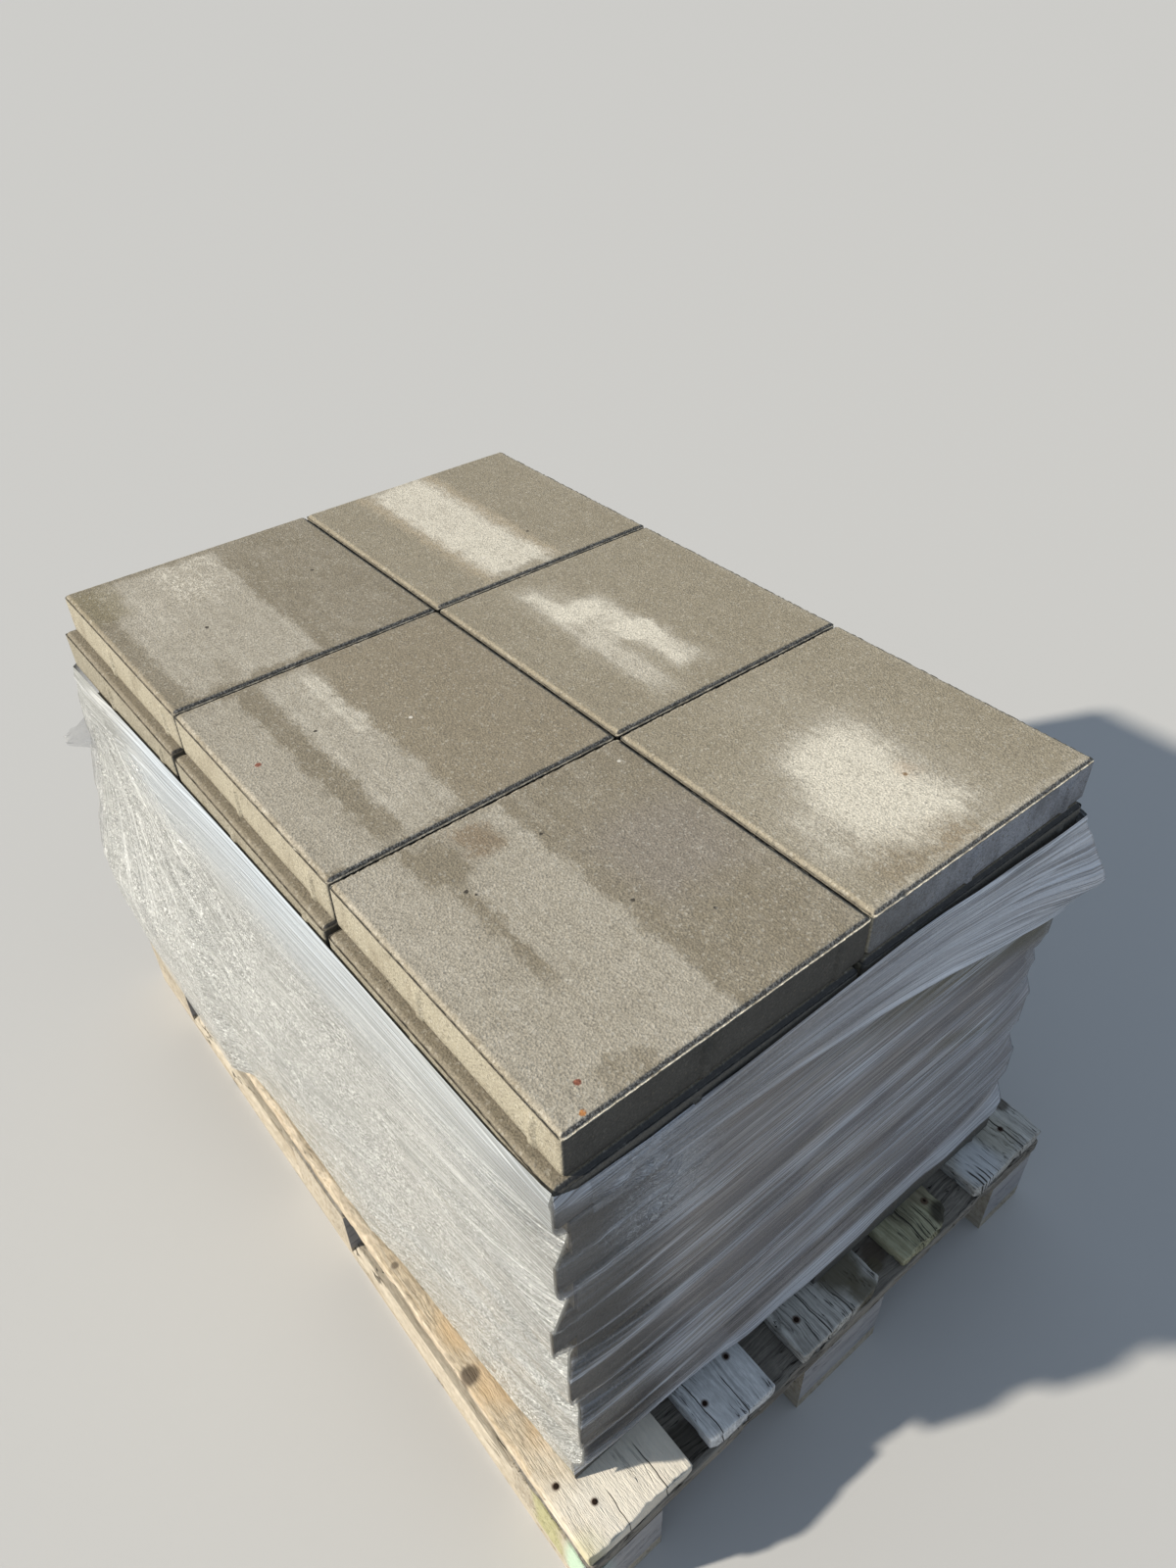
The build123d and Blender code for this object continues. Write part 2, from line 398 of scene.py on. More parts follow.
# Tinted areas on the top slabs, in mm: low x, low y, high x, high y, edge softness, colour, strength
TOP_TINTS = [
    ((-352, 420, -300, 520), (14, 22), (0.20, 0.17, 0.10), 0.55),
    ((-190, -170, -8, 172), (14, 14), (0.245, 0.205, 0.145), 0.55),
    ((-231, -239, -194, -187), (9, 9), (0.215, 0.160, 0.105), 0.65),
    ((-135, -400, -17, -280), (30, 35), (0.24, 0.215, 0.205), 0.35),
    ((81, 195, 103, 520), (7, 15), (0.42, 0.33, 0.22), 0.55),
    ((190, 195, 211, 520), (7, 15), (0.42, 0.33, 0.22), 0.55),
    ((0, -530, 352, 530), (4, 4), (0.30, 0.262, 0.192), 0.45),
    ((174, -426, 198, -402), (9, 9), (0.43, 0.31, 0.21), 0.90),
    ((108, -522, 164, -474), (16, 14), (0.265, 0.210, 0.142), 0.85),
    ((40, -520, 104, -456), (22, 20), (0.240, 0.196, 0.136), 0.80),
]

# Small spots on the top slabs, in mm: colour, then place and radius of each
TOP_SPOTS = [
    ((0.20, 0.055, 0.030), [((-322, 31), 4.0), ((-313, -494), 3.5)]),
    ((0.42, 0.17, 0.045), [((-327, -518), 3.2)]),
    ((0.22, 0.14, 0.075), [((178, -416), 3.0)]),
    ((0.035, 0.030, 0.024), [
        ((-261, -267), 2.6), ((-256, -276), 2.0), ((-152, -373), 2.4), ((-102, -428), 2.0),
        ((-161, -248), 2.2),
        ((-247, 45), 2.4), ((-245, 328), 3.0), ((-74, 374), 2.6), ((212, 274), 2.4)]),
    ((0.66, 0.62, 0.55), [((-154, -1), 2.6), ((-30, -210), 2.2), ((120, 250), 2.4)]),
]


def drying_marks(place, x, y, wetness):
    """Adds the marks, networks and streaks that drying has left on the top slabs."""
    for box, soft, dryness in TOP_MARKS:
        wetness += box_patch(x, y, box, soft) * dryness
    vein = place.noise((0.009, 0.012, 0.01), 3.0, 0.55, 0.8).line(0.005, 0.045)
    for box, soft, dryness in TOP_NETS:
        wetness += box_patch(x, y, box, soft) * vein * dryness
    return wetness + (place.noise((0.006, 0.16, 0.1), 3.0, 0.6) - 0.5) * 0.55


def edge_looks(colour, place, facing, sand, top, marked):
    """The chamfer of slabs with this top, darkened with painted shade and dirt where it leans to -Y, away
    from the light. Its foot gets a painted highlight on the top slabs' front, painted shade there on lower
    slabs, and a crumbly line of dirt and painted shadow on other sides.
    """
    y, z = place.axes()[1:]
    foot = top - CHAMFER
    # Chamfers that lean to -Y, away from the light, get painted shade and dirt, speckled paler on the top
    # slabs
    on_chamfer = z.between(foot + 0.6 * MM, foot + 1.1 * MM) * z.within(top - 0.7 * MM, top - 0.2 * MM)
    on_chamfer *= facing[1].within(-0.50, -0.25)
    speckled = sand.between(0.46, 0.60).mix(CHAMFER_SHADE_AND_DIRT, CHAMFER_PALE if marked else CHAMFER_SHADE_AND_DIRT)
    colour = colour.toward(speckled, on_chamfer * 0.85)
    near_foot = abs(z - (foot + 0.2 * MM)).within(0.5 * MM, 1.2 * MM)
    on_front = y.within(OVERHANG_Y + 2.2 * MM, OVERHANG_Y + 3.0 * MM)
    # Away from the front the foot gets a broken dark line of dirt and the burr's painted shadow
    dirt = near_foot * (0.75 - on_front * 0.75) * sand.between(0.36, 0.52)
    colour = colour.toward(FOOT_DIRT_AND_SHADOW, dirt)
    # On the front the foot gets a painted highlight on the top slabs and painted shade on the lower slabs
    on_foot = near_foot * facing[2].between(0.72, 0.90) * sand.between(0.34, 0.50, 0.10, 0.95)
    on_foot *= on_front.at_least(facing[1].between(-0.12, -0.05, 0.75, 0.0))
    on_foot *= place.noise(0.010, 4.0, 0.7).between(0.38, 0.56, 0.25, 1.0)
    return colour.toward(FOOT_HIGHLIGHT if marked else CHAMFER_SHADE_AND_DIRT, on_foot)


def concrete(name, tone=1.0, top=None, marked=False):
    """Pressed concrete: sand grains, pores, blotches and, on the top slabs, marks left by drying.

    Given the height of the slabs' top, it also has the looks of their edges and of their joints, with painted
    shade and highlights. The sides that face -Y, away from the light, get painted shade.
    """
    surface = Surface(name)
    place = surface.place()
    facing = surface.facing()
    x, y = place.axes()[:2]
    blotch = place.noise((0.09, 0.14, 0.09), 5.0, 0.6)
    cloud = place.noise((0.022, 0.030, 0.022), 4.0, 0.62)
    sand = place.noise(0.0022, 3.0, 0.8)
    distance, chance = place.grains(0.0024)
    wetness = blotch * 0.55 - 0.25
    if marked:
        ragged = place.noise((0.016, 0.028, 0.05), 6.0, 0.72)
        mark_x = x + (ragged * 0.042 - 0.021)
        mark_y = y + (cloud * 0.08 - 0.04) * 0.6
        wetness = drying_marks(place, mark_x, mark_y, wetness)
    wetness += (cloud - 0.5) * (0.70 if marked else 0.42)
    dry = (wetness + 0.05).clamped()
    colour = dry.mix(DAMP, DRY).toward(BLEACHED, wetness.between(0.80, 1.50))
    for box, soft, tint, strength in TOP_TINTS if marked else ():
        share = box_patch(mark_x, mark_y, box, soft) * wetness.between(0.35, 1.0, strength, strength * 0.35)
        colour = colour.toward(tint, share)
    upright = abs(facing[2]).within(0.45, 0.75)
    stain = place.noise((0.030, 0.030, 0.055), 5.0, 0.65)
    # The sides that face -Y get a painted shade colour in place of the side colour
    shaded_side = facing[1].within(-0.85, -0.50)
    shaded_face = stain.mix(FRONT_SHADE_DARK, FRONT_SHADE)
    # On the top slabs the painted shade is darker on the left column, and bluish, as if lit by the sky, on
    # the right one, darker near its left end
    if marked:
        skylit_shade = stain.between(0.35, 0.65).mix(SKYLIT_FRONT_SHADE_DARK, SKYLIT_FRONT_SHADE).toward(FRONT_SHADE, x.between(0.0, 0.17, 0.55, 0.0))
        shaded_face = x.between(-0.004, 0.0).mix(shaded_face * 0.70, skylit_shade)
    lit_face = stain.between(0.42, 0.80, 0.0, 0.8).mix(FACE, DAMP)
    colour = colour.toward(lit_face.toward(shaded_face, shaded_side), upright)
    # Painted shade on the lower layers where they lie in front of the top layer's edge
    if not marked:
        colour = colour.toward(FRONT_SHADE, y.within(OVERHANG_Y - 1.0 * MM, OVERHANG_Y))
    for tint, spots in TOP_SPOTS if marked else ():
        for spot, radius in spots:
            gap = gap_to(x, y, spot) + (sand - 0.5) * (radius * MM)
            colour = colour.toward(tint, gap.between(radius * MM * 0.7, radius * MM * 1.1, 0.9, 0.0))
    colour *= sand.between(0.28, 0.72, 0.66, 1.30)
    # Fewer pale grains on the sides that face -Y: part of their painted shade
    pale = (chance[0] > 0.93) * (1.0 - shaded_side * 0.85)
    colour = colour.toward(PALE_GRAIN, pale * 0.22).toward(DARK_GRAIN, (chance[1] > 0.92) * 0.30)
    pore_distance, pore_chance = place.grains(0.0055)
    pore = pore_distance < pore_chance[2].between(0.35, 1.0, 0.0, 0.26)
    colour = colour.toward(SOAKED, pore * 0.62) * tone
    if top:
        colour = edge_looks(colour, place, facing, sand, top, marked)
        # Painted shade on the slab sides deep in the joints
        in_joint = upright
        for axis, reach in zip((x, y), JOINT_REACH):
            in_joint *= abs(axis).within(reach - JOINT_SOFT, reach + JOINT_SOFT)
        colour = colour.toward(JOINT_SHADE, in_joint * 0.92)
    height = sand + distance * 0.6 - pore * 1.6
    return surface.finish(
        Base_Color=colour, Roughness=dry.between(0.0, 0.8, 0.74, 0.93), Normal=height.bump(0.0010, 0.8),
        Specular_IOR_Level=0.3,
    )


def side_shares(half):
    """Points along half a slab side's length from -1 to 1, with one at each bend of its nibs."""
    edges = (NIB_HALF, NIB_HALF - NIB_PROUD)
    bends = [offset + side * edge for offset in NIB_OFFSETS for side in (-1, 1) for edge in edges]
    plain = np.linspace(-half, half, int(2 * half / EDGE_STEP))
    apart = np.array([min(abs(value - bend) for bend in bends) > EDGE_STEP * 0.4 for value in plain])
    return np.sort(np.concatenate([plain[apart], bends])) / half


def slab_outline(half, inset, nib, height):
    """Points round a slab at one height: rounded corners, nibs on every side."""
    reach = half - inset
    corner = max(CORNER_RADIUS - inset * 0.5, 0.5 * MM)
    straight = reach - corner
    shares = side_shares(half)
    along = shares * straight
    proud = np.zeros(len(along))
    for offset in NIB_OFFSETS:
        proud = np.maximum(proud, np.clip(NIB_HALF - np.abs(shares * half - offset), 0, NIB_PROUD))
    points = []
    for turn in range(4):
        angle = math.pi / 2 * turn
        out = np.array((math.cos(angle), math.sin(angle)))
        side = np.array((-out[1], out[0]))
        points += [out * (reach + nib * bump) + side * value for value, bump in zip(along, proud)]
        middle = out * straight + side * straight
        for step in range(1, CORNER_STEPS):
            bend = angle + math.pi / 2 * step / CORNER_STEPS
            points.append(middle + corner * np.array((math.cos(bend), math.sin(bend))))
    return np.column_stack([np.array(points), np.full(len(points), height)])


def make_slab(node, material, seed):
    """One slab with a crumbly moulding burr along the foot of its chamfer and nibs on its sides."""
    low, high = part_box(node)
    middle = (low + high) / 2
    half = (high.x - low.x) / 2 - NIB_PROUD
    thick = high.z - low.z
    nib_top = thick - NIB_TOP_DROP
    foot = thick - CHAMFER
    # From the underside up: inset from the side, height, and share of the nib
    rings = [(60 * MM, 0, 0), (1.2 * MM, 0, 0.6), (0.2 * MM, 1.2 * MM, 1)]
    rings += [(0, share * nib_top, 1) for share in (0.2, 0.4, 0.6, 0.8, 0.95)]
    rings += [(0, nib_top + 2 * MM, 0), (0, foot - 4 * MM, 0), (0, foot - 1.6 * MM, 0)]
    burr_ring = len(rings)
    rings += [(0.1 * MM, foot + 0.2 * MM, 0), (0.6 * MM, foot + 0.1 * MM, 0), (1.4 * MM, foot + 0.2 * MM, 0)]
    rings += [(2.2 * MM, foot + 1.5 * MM, 0), (CHAMFER + 0.3 * MM, thick - 0.35 * MM, 0)]
    rings += [(CHAMFER + 1.7 * MM, thick, 0)] + [(inset * MM, thick, 0) for inset in (7.5, 12, 22, 60)]
    points = np.array([slab_outline(half, inset, nib, height) for inset, height, nib in rings])
    count = points.shape[1]
    flat = points.reshape(-1, 3)
    flat += np.array(middle) * (1, 1, 0) + np.array((0, 0, low.z))
    level = np.repeat(np.arange(len(rings)), count)
    outward = flat[:, :2] - np.array(middle)[:2]
    outward = outward / np.abs(outward).max(axis=1, keepdims=True).clip(1e-6)
    outward = np.where(np.abs(outward) > 0.985, np.sign(outward), 0)
    pitted = layered(flat, 5 * MM, seed) - 0.5
    crumbs = noise(flat, 3.2 * MM, seed + 5)
    side_wear = np.where(level >= burr_ring, 0.7, 0.45) * MM * pitted
    side_wear = np.where((level > 0) & (level < len(rings) - 4), side_wear, 0)
    flat[:, :2] += outward * np.minimum(side_wear, 0.1 * MM)[:, None]
    burr = BURR_HEIGHT * np.clip(crumbs * 1.9 - 0.35, 0, 1)
    flat[:, 2] += np.where(level == burr_ring, burr, 0)
    chip = np.clip(layered(flat, 14 * MM, seed + 9) - 0.72, 0, 1) * 9 * MM
    worn = (level >= burr_ring) & (level <= burr_ring + 4)
    flat[:, 2] -= np.where(worn, chip, 0)
    flat[:, 2] -= np.where(level == burr_ring + 4, np.abs(pitted) * 0.7 * MM, 0)
    flat[:, 2] = np.clip(flat[:, 2], low.z, high.z)
    faces = grid_faces(len(rings), count, closed=True)
    bottom = list(range(count))[::-1]
    top = list(range(count * (len(rings) - 1), count * len(rings)))
    return new_piece(node + "_stone", flat, faces + [bottom, top], material, "concrete", node)


top_stone = concrete("concrete_top", top=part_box("top_slab_1")[1].z, marked=True)
second_stone = concrete("concrete_second", tone=SECOND_TONE, top=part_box("second_slab_1")[1].z)
for (layer, prefix), stone in zip(SINGLE_LEVELS.items(), (top_stone, second_stone)):
    for number in LAYER_SLABS:
        make_slab(f"{prefix}_slab_{number}", stone, 100 * layer + number)

for layer in range(3, LAYERS + 1):
    stone = concrete(f"concrete_layer_{layer:02d}", tone=LAYER_TONES[layer % 3])
    dress_node(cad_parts[f"slab_layer_{layer:02d}"], stone, 1.2 * MM, 2)

# Pallet wood: a pale and a dark colour for each board
TAN = ((0.53, 0.455, 0.355), (0.42, 0.335, 0.230))
CREAM = ((0.43, 0.385, 0.315), (0.29, 0.245, 0.185))
SILVER = ((0.50, 0.49, 0.46), (0.25, 0.24, 0.22))
# Deck board 2's pale, bluish slate stands in part for sky light on its shaded near end: painted light
SLATE = ((0.68, 0.69, 0.70), (0.38, 0.385, 0.39))
MOSSY = ((0.40, 0.39, 0.27), (0.17, 0.16, 0.09))
UMBER = ((0.24, 0.22, 0.19), (0.09, 0.08, 0.07))

KNOT = (0.080, 0.060, 0.043)
GREY_KNOT = (0.115, 0.100, 0.082)
ROT = (0.105, 0.092, 0.060)
LICHEN = (0.36, 0.36, 0.16)
MINT = (0.42, 0.60, 0.46)
FROST = (0.60, 0.63, 0.67)
STRAW = (0.34, 0.32, 0.25)
LIME = (0.76, 0.72, 0.64)
SOIL = (0.16, 0.13, 0.09)
HONEY = (0.51, 0.35, 0.19)
CRACK = (0.022, 0.018, 0.014)
BLACK_WOOD = (0.030, 0.026, 0.020)
SHADE_GREY = (0.275, 0.29, 0.335)
# The deck's wood is palest in front of the first of these places along Y and darkest behind the second:
# painted light, for the near ends lie in the shade and the rest in the sun
PAINTED_LIGHT_END = (-0.50, -0.38)

# Nail heads on the deck, in mm: near row, far row and middle row
NAILS = [
    (-384, -520), (-361, -558), (-147, -539), (-202, -561), (-52, -562), (189, -562), (356, -561),
    (-384, 520), (-300, 560), (-202, 556), (-140, 530), (-45, 560), (40, 532), (140, 560), (189, 530),
    (290, 560), (356, 528),
    (-384, -30), (-372, 42), (-300, 10), (-150, 20), (30, -20), (160, 15), (340, -25), (385, 30),
]
NAIL_RADIUS = 3.2 * MM
NAIL_SINK = 0.25 * MM
NAIL_STEPS = 16
# Rings of a nail head, from its shank to its crown: share of the radius, and height in mm
NAIL_RINGS = ((1.0, -3.0), (1.0, -0.35), (0.92, -0.05), (0.6, 0.18), (0.25, 0.25))
RUST = (0.070, 0.036, 0.021)
RUST_REACH = 5.4


def grain_sizes(fine, along, long):
    """Grain sizes on the three axes: fine across a board and long down it."""
    sizes = [fine] * 3
    sizes[along] = long
    return sizes


def wood(
    name, colours, grain, along=1, cracks=0.5, rough_sawn=0.5, stains=(), painted_shade=0.0, splits=(), inner=1.0,
):
    """Weathered softwood: growth rings along one axis, dark drying cracks, saw fuzz, stains and splits.

    A stain is given as place and radius in mm, colour and strength; a split as its place along X,
    where it starts and ends along Y, and half its width, all in mm. The near ends lie in the shade and
    keep the paler colours as painted light; past them the colours are times inner. Faces in the shade,
    toward -Y, get painted shade grey by a share.
    """
    surface = Surface(name)
    place = surface.place()
    x, y = place.axes()[:2]
    warp = place.noise(0.07, 3.0)
    push = [0.0, 0.0, 0.0]
    push[1 - along] = 0.016
    bend = place.node("ShaderNodeVectorMath", {0: push, "Scale": warp}, operation="SCALE")
    bent = place.moved((0.02, 0.02, 0.02)).moved(bend)
    ring_sizes = [grain, grain, grain * 1.6]
    ring_sizes[along] = grain * 45
    rings = bent.noise(ring_sizes, 4.0, 0.6, 0.2)
    fibres = bent.noise(grain_sizes(0.0013, along, 0.045), 2.0, 0.7)
    cracked = place.noise(0.06, 3.0).between(0.62 - 0.3 * cracks, 0.75 - 0.3 * cracks)
    crack = bent.noise(grain_sizes(grain * 1.7, along, 0.16), 3.0, 0.55, 0.3).line(0.003, 0.013) * cracked
    fuzz = place.noise(grain_sizes(0.0032, along, 0.013), 4.0, 0.70, 0.4)
    pale, dark = colours
    colour = rings.between(0.25, 0.62).mix(dark, pale).toward(dark, fibres.between(0.48, 0.75) * 0.55)
    colour *= fuzz.between(0.32, 0.66, 1.0 - 0.28 * rough_sawn, 1.12)
    dirt = place.noise(0.07, 5.0, 0.65)
    colour = colour.toward([value * 0.55 for value in dark], dirt.between(0.50, 0.80, 0.0, 0.5))
    colour = colour.toward(CRACK, crack * 0.92)
    for spot, radius, tint, strength in stains:
        gap = gap_to(x, y, spot) + (dirt - 0.5) * (radius * MM * 1.2)
        colour = colour.toward(tint, gap.between(radius * MM * 0.55, radius * MM * 1.15, strength, 0.0))
    wobble = warp * (14 * MM) - 7 * MM
    for split_x, start, end, half in splits:
        gap = abs(x - split_x * MM + wobble)
        opened = y.within((end - 12) * MM, end * MM) * y.between((start - 4) * MM, start * MM)
        colour = colour.toward(BLACK_WOOD, gap.between(half * MM * 0.6, half * MM * 1.3, 0.95, 0.0) * opened)
    # Painted light: the shaded near ends keep the pale colours and the sunlit rest is made darker
    if inner < 1:
        colour *= y.between(*PAINTED_LIGHT_END, 1.0, inner)
    # Painted shade grey on faces toward -Y, away from the light
    if painted_shade:
        colour = colour.toward(SHADE_GREY, surface.facing()[1].between(-0.85, -0.50, painted_shade, 0.0))
    height = rings * 0.9 + fibres * 0.7 + fuzz * rough_sawn - crack * 2.2
    return surface.finish(
        Base_Color=colour, Roughness=rings.between(0.3, 0.7, 0.88, 0.72), Normal=height.bump(0.0011, 0.85),
        Specular_IOR_Level=0.25,
    )


def nail_stains(low, high):
    """Rust round the nails of one board, given its sides in mm."""
    return [((x, y), RUST_REACH, RUST, 0.85) for x, y in NAILS if low < x < high]


# Points along a board, in mm from its end, that are close enough for its ragged edge
BOARD_END_STEPS = (0, 0.8, 2.2, 4.5, 8, 12, 17, 23, 30, 38, 47, 57)
BOARD_EDGE_POINTS = 5
BOARD_ROUNDING = 2.2 * MM
BOARD_FACE_STEP = 5.5 * MM
# Between its ends a board has a row of points at each of these steps, this far from each end on
BOARD_STEP = 9 * MM
BOARD_INNER = 66 * MM


def make_board(node, material, along, seed, wear=1.0, chips=()):
    """A rough-sawn board: softened edges, wavy faces, ragged ends and chipped corners.

    along is the axis the board runs on; chips are broken corners, as end sign, side sign and size in mm.
    """
    low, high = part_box(node)
    across = 1 - along
    half_width = (high[across] - low[across]) / 2
    half_thick = (high.z - low.z) / 2
    length = high[along] - low[along]
    flat_count = max(10, int(half_width * 2 / BOARD_FACE_STEP))
    corner_x, corner_z = half_width - 0.3 * BOARD_ROUNDING, half_thick - 0.3 * BOARD_ROUNDING
    top = np.linspace(-half_width + BOARD_ROUNDING, half_width - BOARD_ROUNDING, flat_count)
    side = np.linspace(half_thick - BOARD_ROUNDING, -half_thick + BOARD_ROUNDING, BOARD_EDGE_POINTS)
    section = [(value, half_thick) for value in top]
    section += [(corner_x, corner_z)] + [(half_width, value) for value in side] + [(corner_x, -corner_z)]
    section += [(value, -half_thick) for value in top[::-1]]
    section += [(-corner_x, -corner_z)] + [(-half_width, value) for value in side[::-1]]
    section = np.array(section + [(-corner_x, corner_z)])
    near_end = np.array(BOARD_END_STEPS) * MM
    inner = np.arange(BOARD_INNER, length - BOARD_INNER, BOARD_STEP)
    stations = np.concatenate([near_end, inner, (length - near_end)[::-1]])
    shrink = np.interp(np.minimum(stations, length - stations), [0, 0.8 * MM, 3 * MM], [0.90, 0.98, 1.0])
    count = len(section)
    narrowed = np.where(shrink < 1, 1 - (1 - shrink) * 0.25, 1)
    aside = np.tile(section[:, 0], len(stations)) * np.repeat(narrowed, count)
    up = np.tile(section[:, 1], len(stations)) * np.repeat(shrink, count)
    ahead = np.repeat(stations, count)
    points = np.column_stack([aside, ahead, up])
    sample = points + np.array((seed * 3.1, seed * 1.7, seed * 0.9))
    grain = layered(sample, (3.5 * MM, 160 * MM, 6 * MM), seed) - 0.5
    saw = layered(sample, (9 * MM, 12 * MM, 9 * MM), seed + 3) - 0.5
    sag = noise(sample, (60 * MM, 220 * MM, 60 * MM), seed + 6) - 0.5
    at_face = np.abs(up) > half_thick - 1.2 * MM
    cut_in = np.clip(0.5 + grain * 1.0 + saw * 0.7 + sag * 0.6, 0, 1.2) * wear * MM
    up = np.where(at_face, np.sign(up) * (np.abs(up) - cut_in), up)
    at_side = np.abs(aside) > half_width - 2.6 * MM
    notch = np.clip(layered(sample, (200 * MM, 26 * MM, 12 * MM), seed + 8) - 0.62, 0, 1) * 26 * MM
    aside = np.where(at_side, np.sign(aside) * (np.abs(aside) - cut_in * 0.9 - notch * wear), aside)
    end_gap = np.minimum(ahead, length - ahead)
    end_on = sample * (1, 0, 1)
    ragged = layered(end_on, (7 * MM, 1, 9 * MM), seed + 11) * 3.2 * MM * wear
    ragged += np.clip(noise(end_on, (28 * MM, 1, 30 * MM), seed + 12) - 0.55, 0, 1) * 9 * MM * wear
    near = np.clip(1 - end_gap / (40 * MM), 0, 1)
    ahead = ahead + np.where(ahead < length / 2, 1, -1) * ragged * near
    for end, flank, size in chips:
        from_end = ahead if end < 0 else length - ahead
        from_side = half_width - aside * flank
        depth = np.clip(size * MM - from_end - from_side * 0.8, 0, None)
        broken = depth * (0.7 + 0.6 * (layered(sample, (5 * MM, 60 * MM, 5 * MM), seed + 15) - 0.5))
        ahead = ahead - end * broken * 0.75
        up = np.where(depth > 0, np.minimum(up, half_thick - np.clip(depth * 0.30, 0, 9 * MM)), up)
    middle = (low + high) / 2
    placed = np.zeros((len(aside), 3))
    placed[:, across] = middle[across] + aside
    placed[:, along] = low[along] + ahead
    placed[:, 2] = middle.z + up
    for axis in range(3):
        placed[:, axis] = np.clip(placed[:, axis], low[axis], high[axis])
    faces = grid_faces(len(stations), count, closed=True)
    last = count * (len(stations) - 1)
    faces += [list(range(count))[::-1], [last + number for number in range(count)]]
    if along == 0:
        faces = [face[::-1] for face in faces]
    return new_piece(node + "_wood", placed, faces, material, "wood", node)


DECK_WOODS = [
    wood("wood_deck_1", TAN, 0.0055, cracks=0.25, rough_sawn=1.3, stains=[
        ((-358, -312), 42, HONEY, 0.55), ((-362, -392), 42, HONEY, 0.55), ((-350, -470), 34, HONEY, 0.40),
        ((-391, -366), 14, KNOT, 0.9), ((-388, -196), 6, KNOT, 0.7), ((-383, 8), 5, KNOT, 0.8),
        ((-395, -590), 26, LICHEN, 0.5), ((-300, -570), 120, LIME, 0.7)] + nail_stains(-400, -255),
        splits=[(-345, -600, -552, 0.6), (-292, -600, -535, 0.7)]),
    wood("wood_deck_2", SLATE, 0.0036, cracks=0.45, stains=nail_stains(-230, -110),
        splits=[(-207, -600, -505, 0.8), (-168, -600, -545, 0.7)], inner=0.50),
    wood("wood_deck_3", SILVER, 0.0050, cracks=0.9, stains=[
        ((32, -548), 38, ROT, 0.92), ((40, -590), 22, ROT, 0.85), ((-22, -528), 6, BLACK_WOOD, 0.9)]
        + nail_stains(-80, 80), splits=[(-32, -600, -520, 0.9), (6, -600, -560, 0.8)], inner=0.65),
    wood("wood_deck_4", MOSSY, 0.0046, cracks=0.8, stains=[
        ((196, -590), 20, BLACK_WOOD, 0.9), ((150, -545), 26, ROT, 0.6), ((190, -545), 22, SOIL, 0.6)]
        + nail_stains(108, 215), splits=[(148, -600, -530, 1.0), (170, -600, -550, 0.8)], inner=0.65),
    wood("wood_deck_5", SILVER, 0.0044, cracks=1.0, stains=[
        ((292, -570), 34, FROST, 0.6), ((345, -560), 36, STRAW, 0.5), ((391, -536), 14, GREY_KNOT, 0.9)]
        + nail_stains(250, 400), splits=[
        (357, -600, -532, 1.2), (300, -600, -560, 0.7), (266, -600, -565, 1.6), (273, -600, -575, 1.4),
        (281, -600, -568, 1.2), (288, -600, -580, 0.9)], inner=0.65),
]
# How worn each deck board is, and its broken corners
DECK_WEAR = [
    (1.5, ()), (1.0, ((-1, -1, 10),)), (1.3, ((-1, 1, 18),)), (1.3, ((-1, 1, 26),)), (1.3, ((-1, -1, 9),)),
]
for number, (material, (wear, chips)) in enumerate(zip(DECK_WOODS, DECK_WEAR), start=1):
    make_board(f"deck_board_{number}", material, 1, number, wear, chips)

stringer_wood = wood("wood_stringers", UMBER, 0.0060, along=0, cracks=0.8, stains=[
    ((95, -560), 22, KNOT, 0.8), ((84, -572), 12, ROT, 0.8), ((-240, -570), 24, BLACK_WOOD, 0.7)])
for number in (1, 2, 3):
    make_board(f"stringer_board_{number}", stringer_wood, 0, 20 + number, 0.8)

block_wood = wood("wood_blocks", CREAM, 0.0060, along=0, cracks=0.6, stains=[
    ((-400, -585), 34, MINT, 0.75), ((-400, -520), 30, LICHEN, 0.6)], painted_shade=0.65)
runner_wood = wood("wood_runners", CREAM, 0.0060, along=1, cracks=0.5)
for name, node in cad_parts.items():
    if name.startswith(("block", "bottom_board")):
        dress_node(node, block_wood if name.startswith("block") else runner_wood, 2.5 * MM, 3)


def make_nails():
    """Slightly domed, rusty nail heads, sunk into the deck."""
    surface = Surface("rusty_steel")
    flakes = surface.place().noise(0.0012, 4.0, 0.7)
    colour = flakes.between(0.3, 0.7).mix((0.008, 0.006, 0.005), (0.034, 0.019, 0.013))
    rusty = surface.finish(
        Base_Color=colour, Roughness=0.90, Specular_IOR_Level=0.1, Normal=flakes.bump(0.0004, 0.8),
    )
    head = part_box("deck_board_1")[1].z - NAIL_SINK
    points, faces = [], []
    for x, y in NAILS:
        start = len(points)
        for share, height in NAIL_RINGS:
            for step in range(NAIL_STEPS):
                angle = 2 * math.pi * step / NAIL_STEPS
                reach = share * NAIL_RADIUS
                aside, ahead = math.cos(angle) * reach, math.sin(angle) * reach
                points.append((x * MM + aside, y * MM + ahead, head + height * MM))
        rings = len(NAIL_RINGS)
        faces += [[start + index for index in face] for face in grid_faces(rings, NAIL_STEPS, closed=True)]
        faces.append([start + (rings - 1) * NAIL_STEPS + step for step in range(NAIL_STEPS)])
        faces.append([start + NAIL_STEPS - 1 - step for step in range(NAIL_STEPS)])
    return new_piece("nail_heads", points, faces, rusty, "wood")


make_nails()

# Stretch film
FILM_SKIN = 1.2 * MM
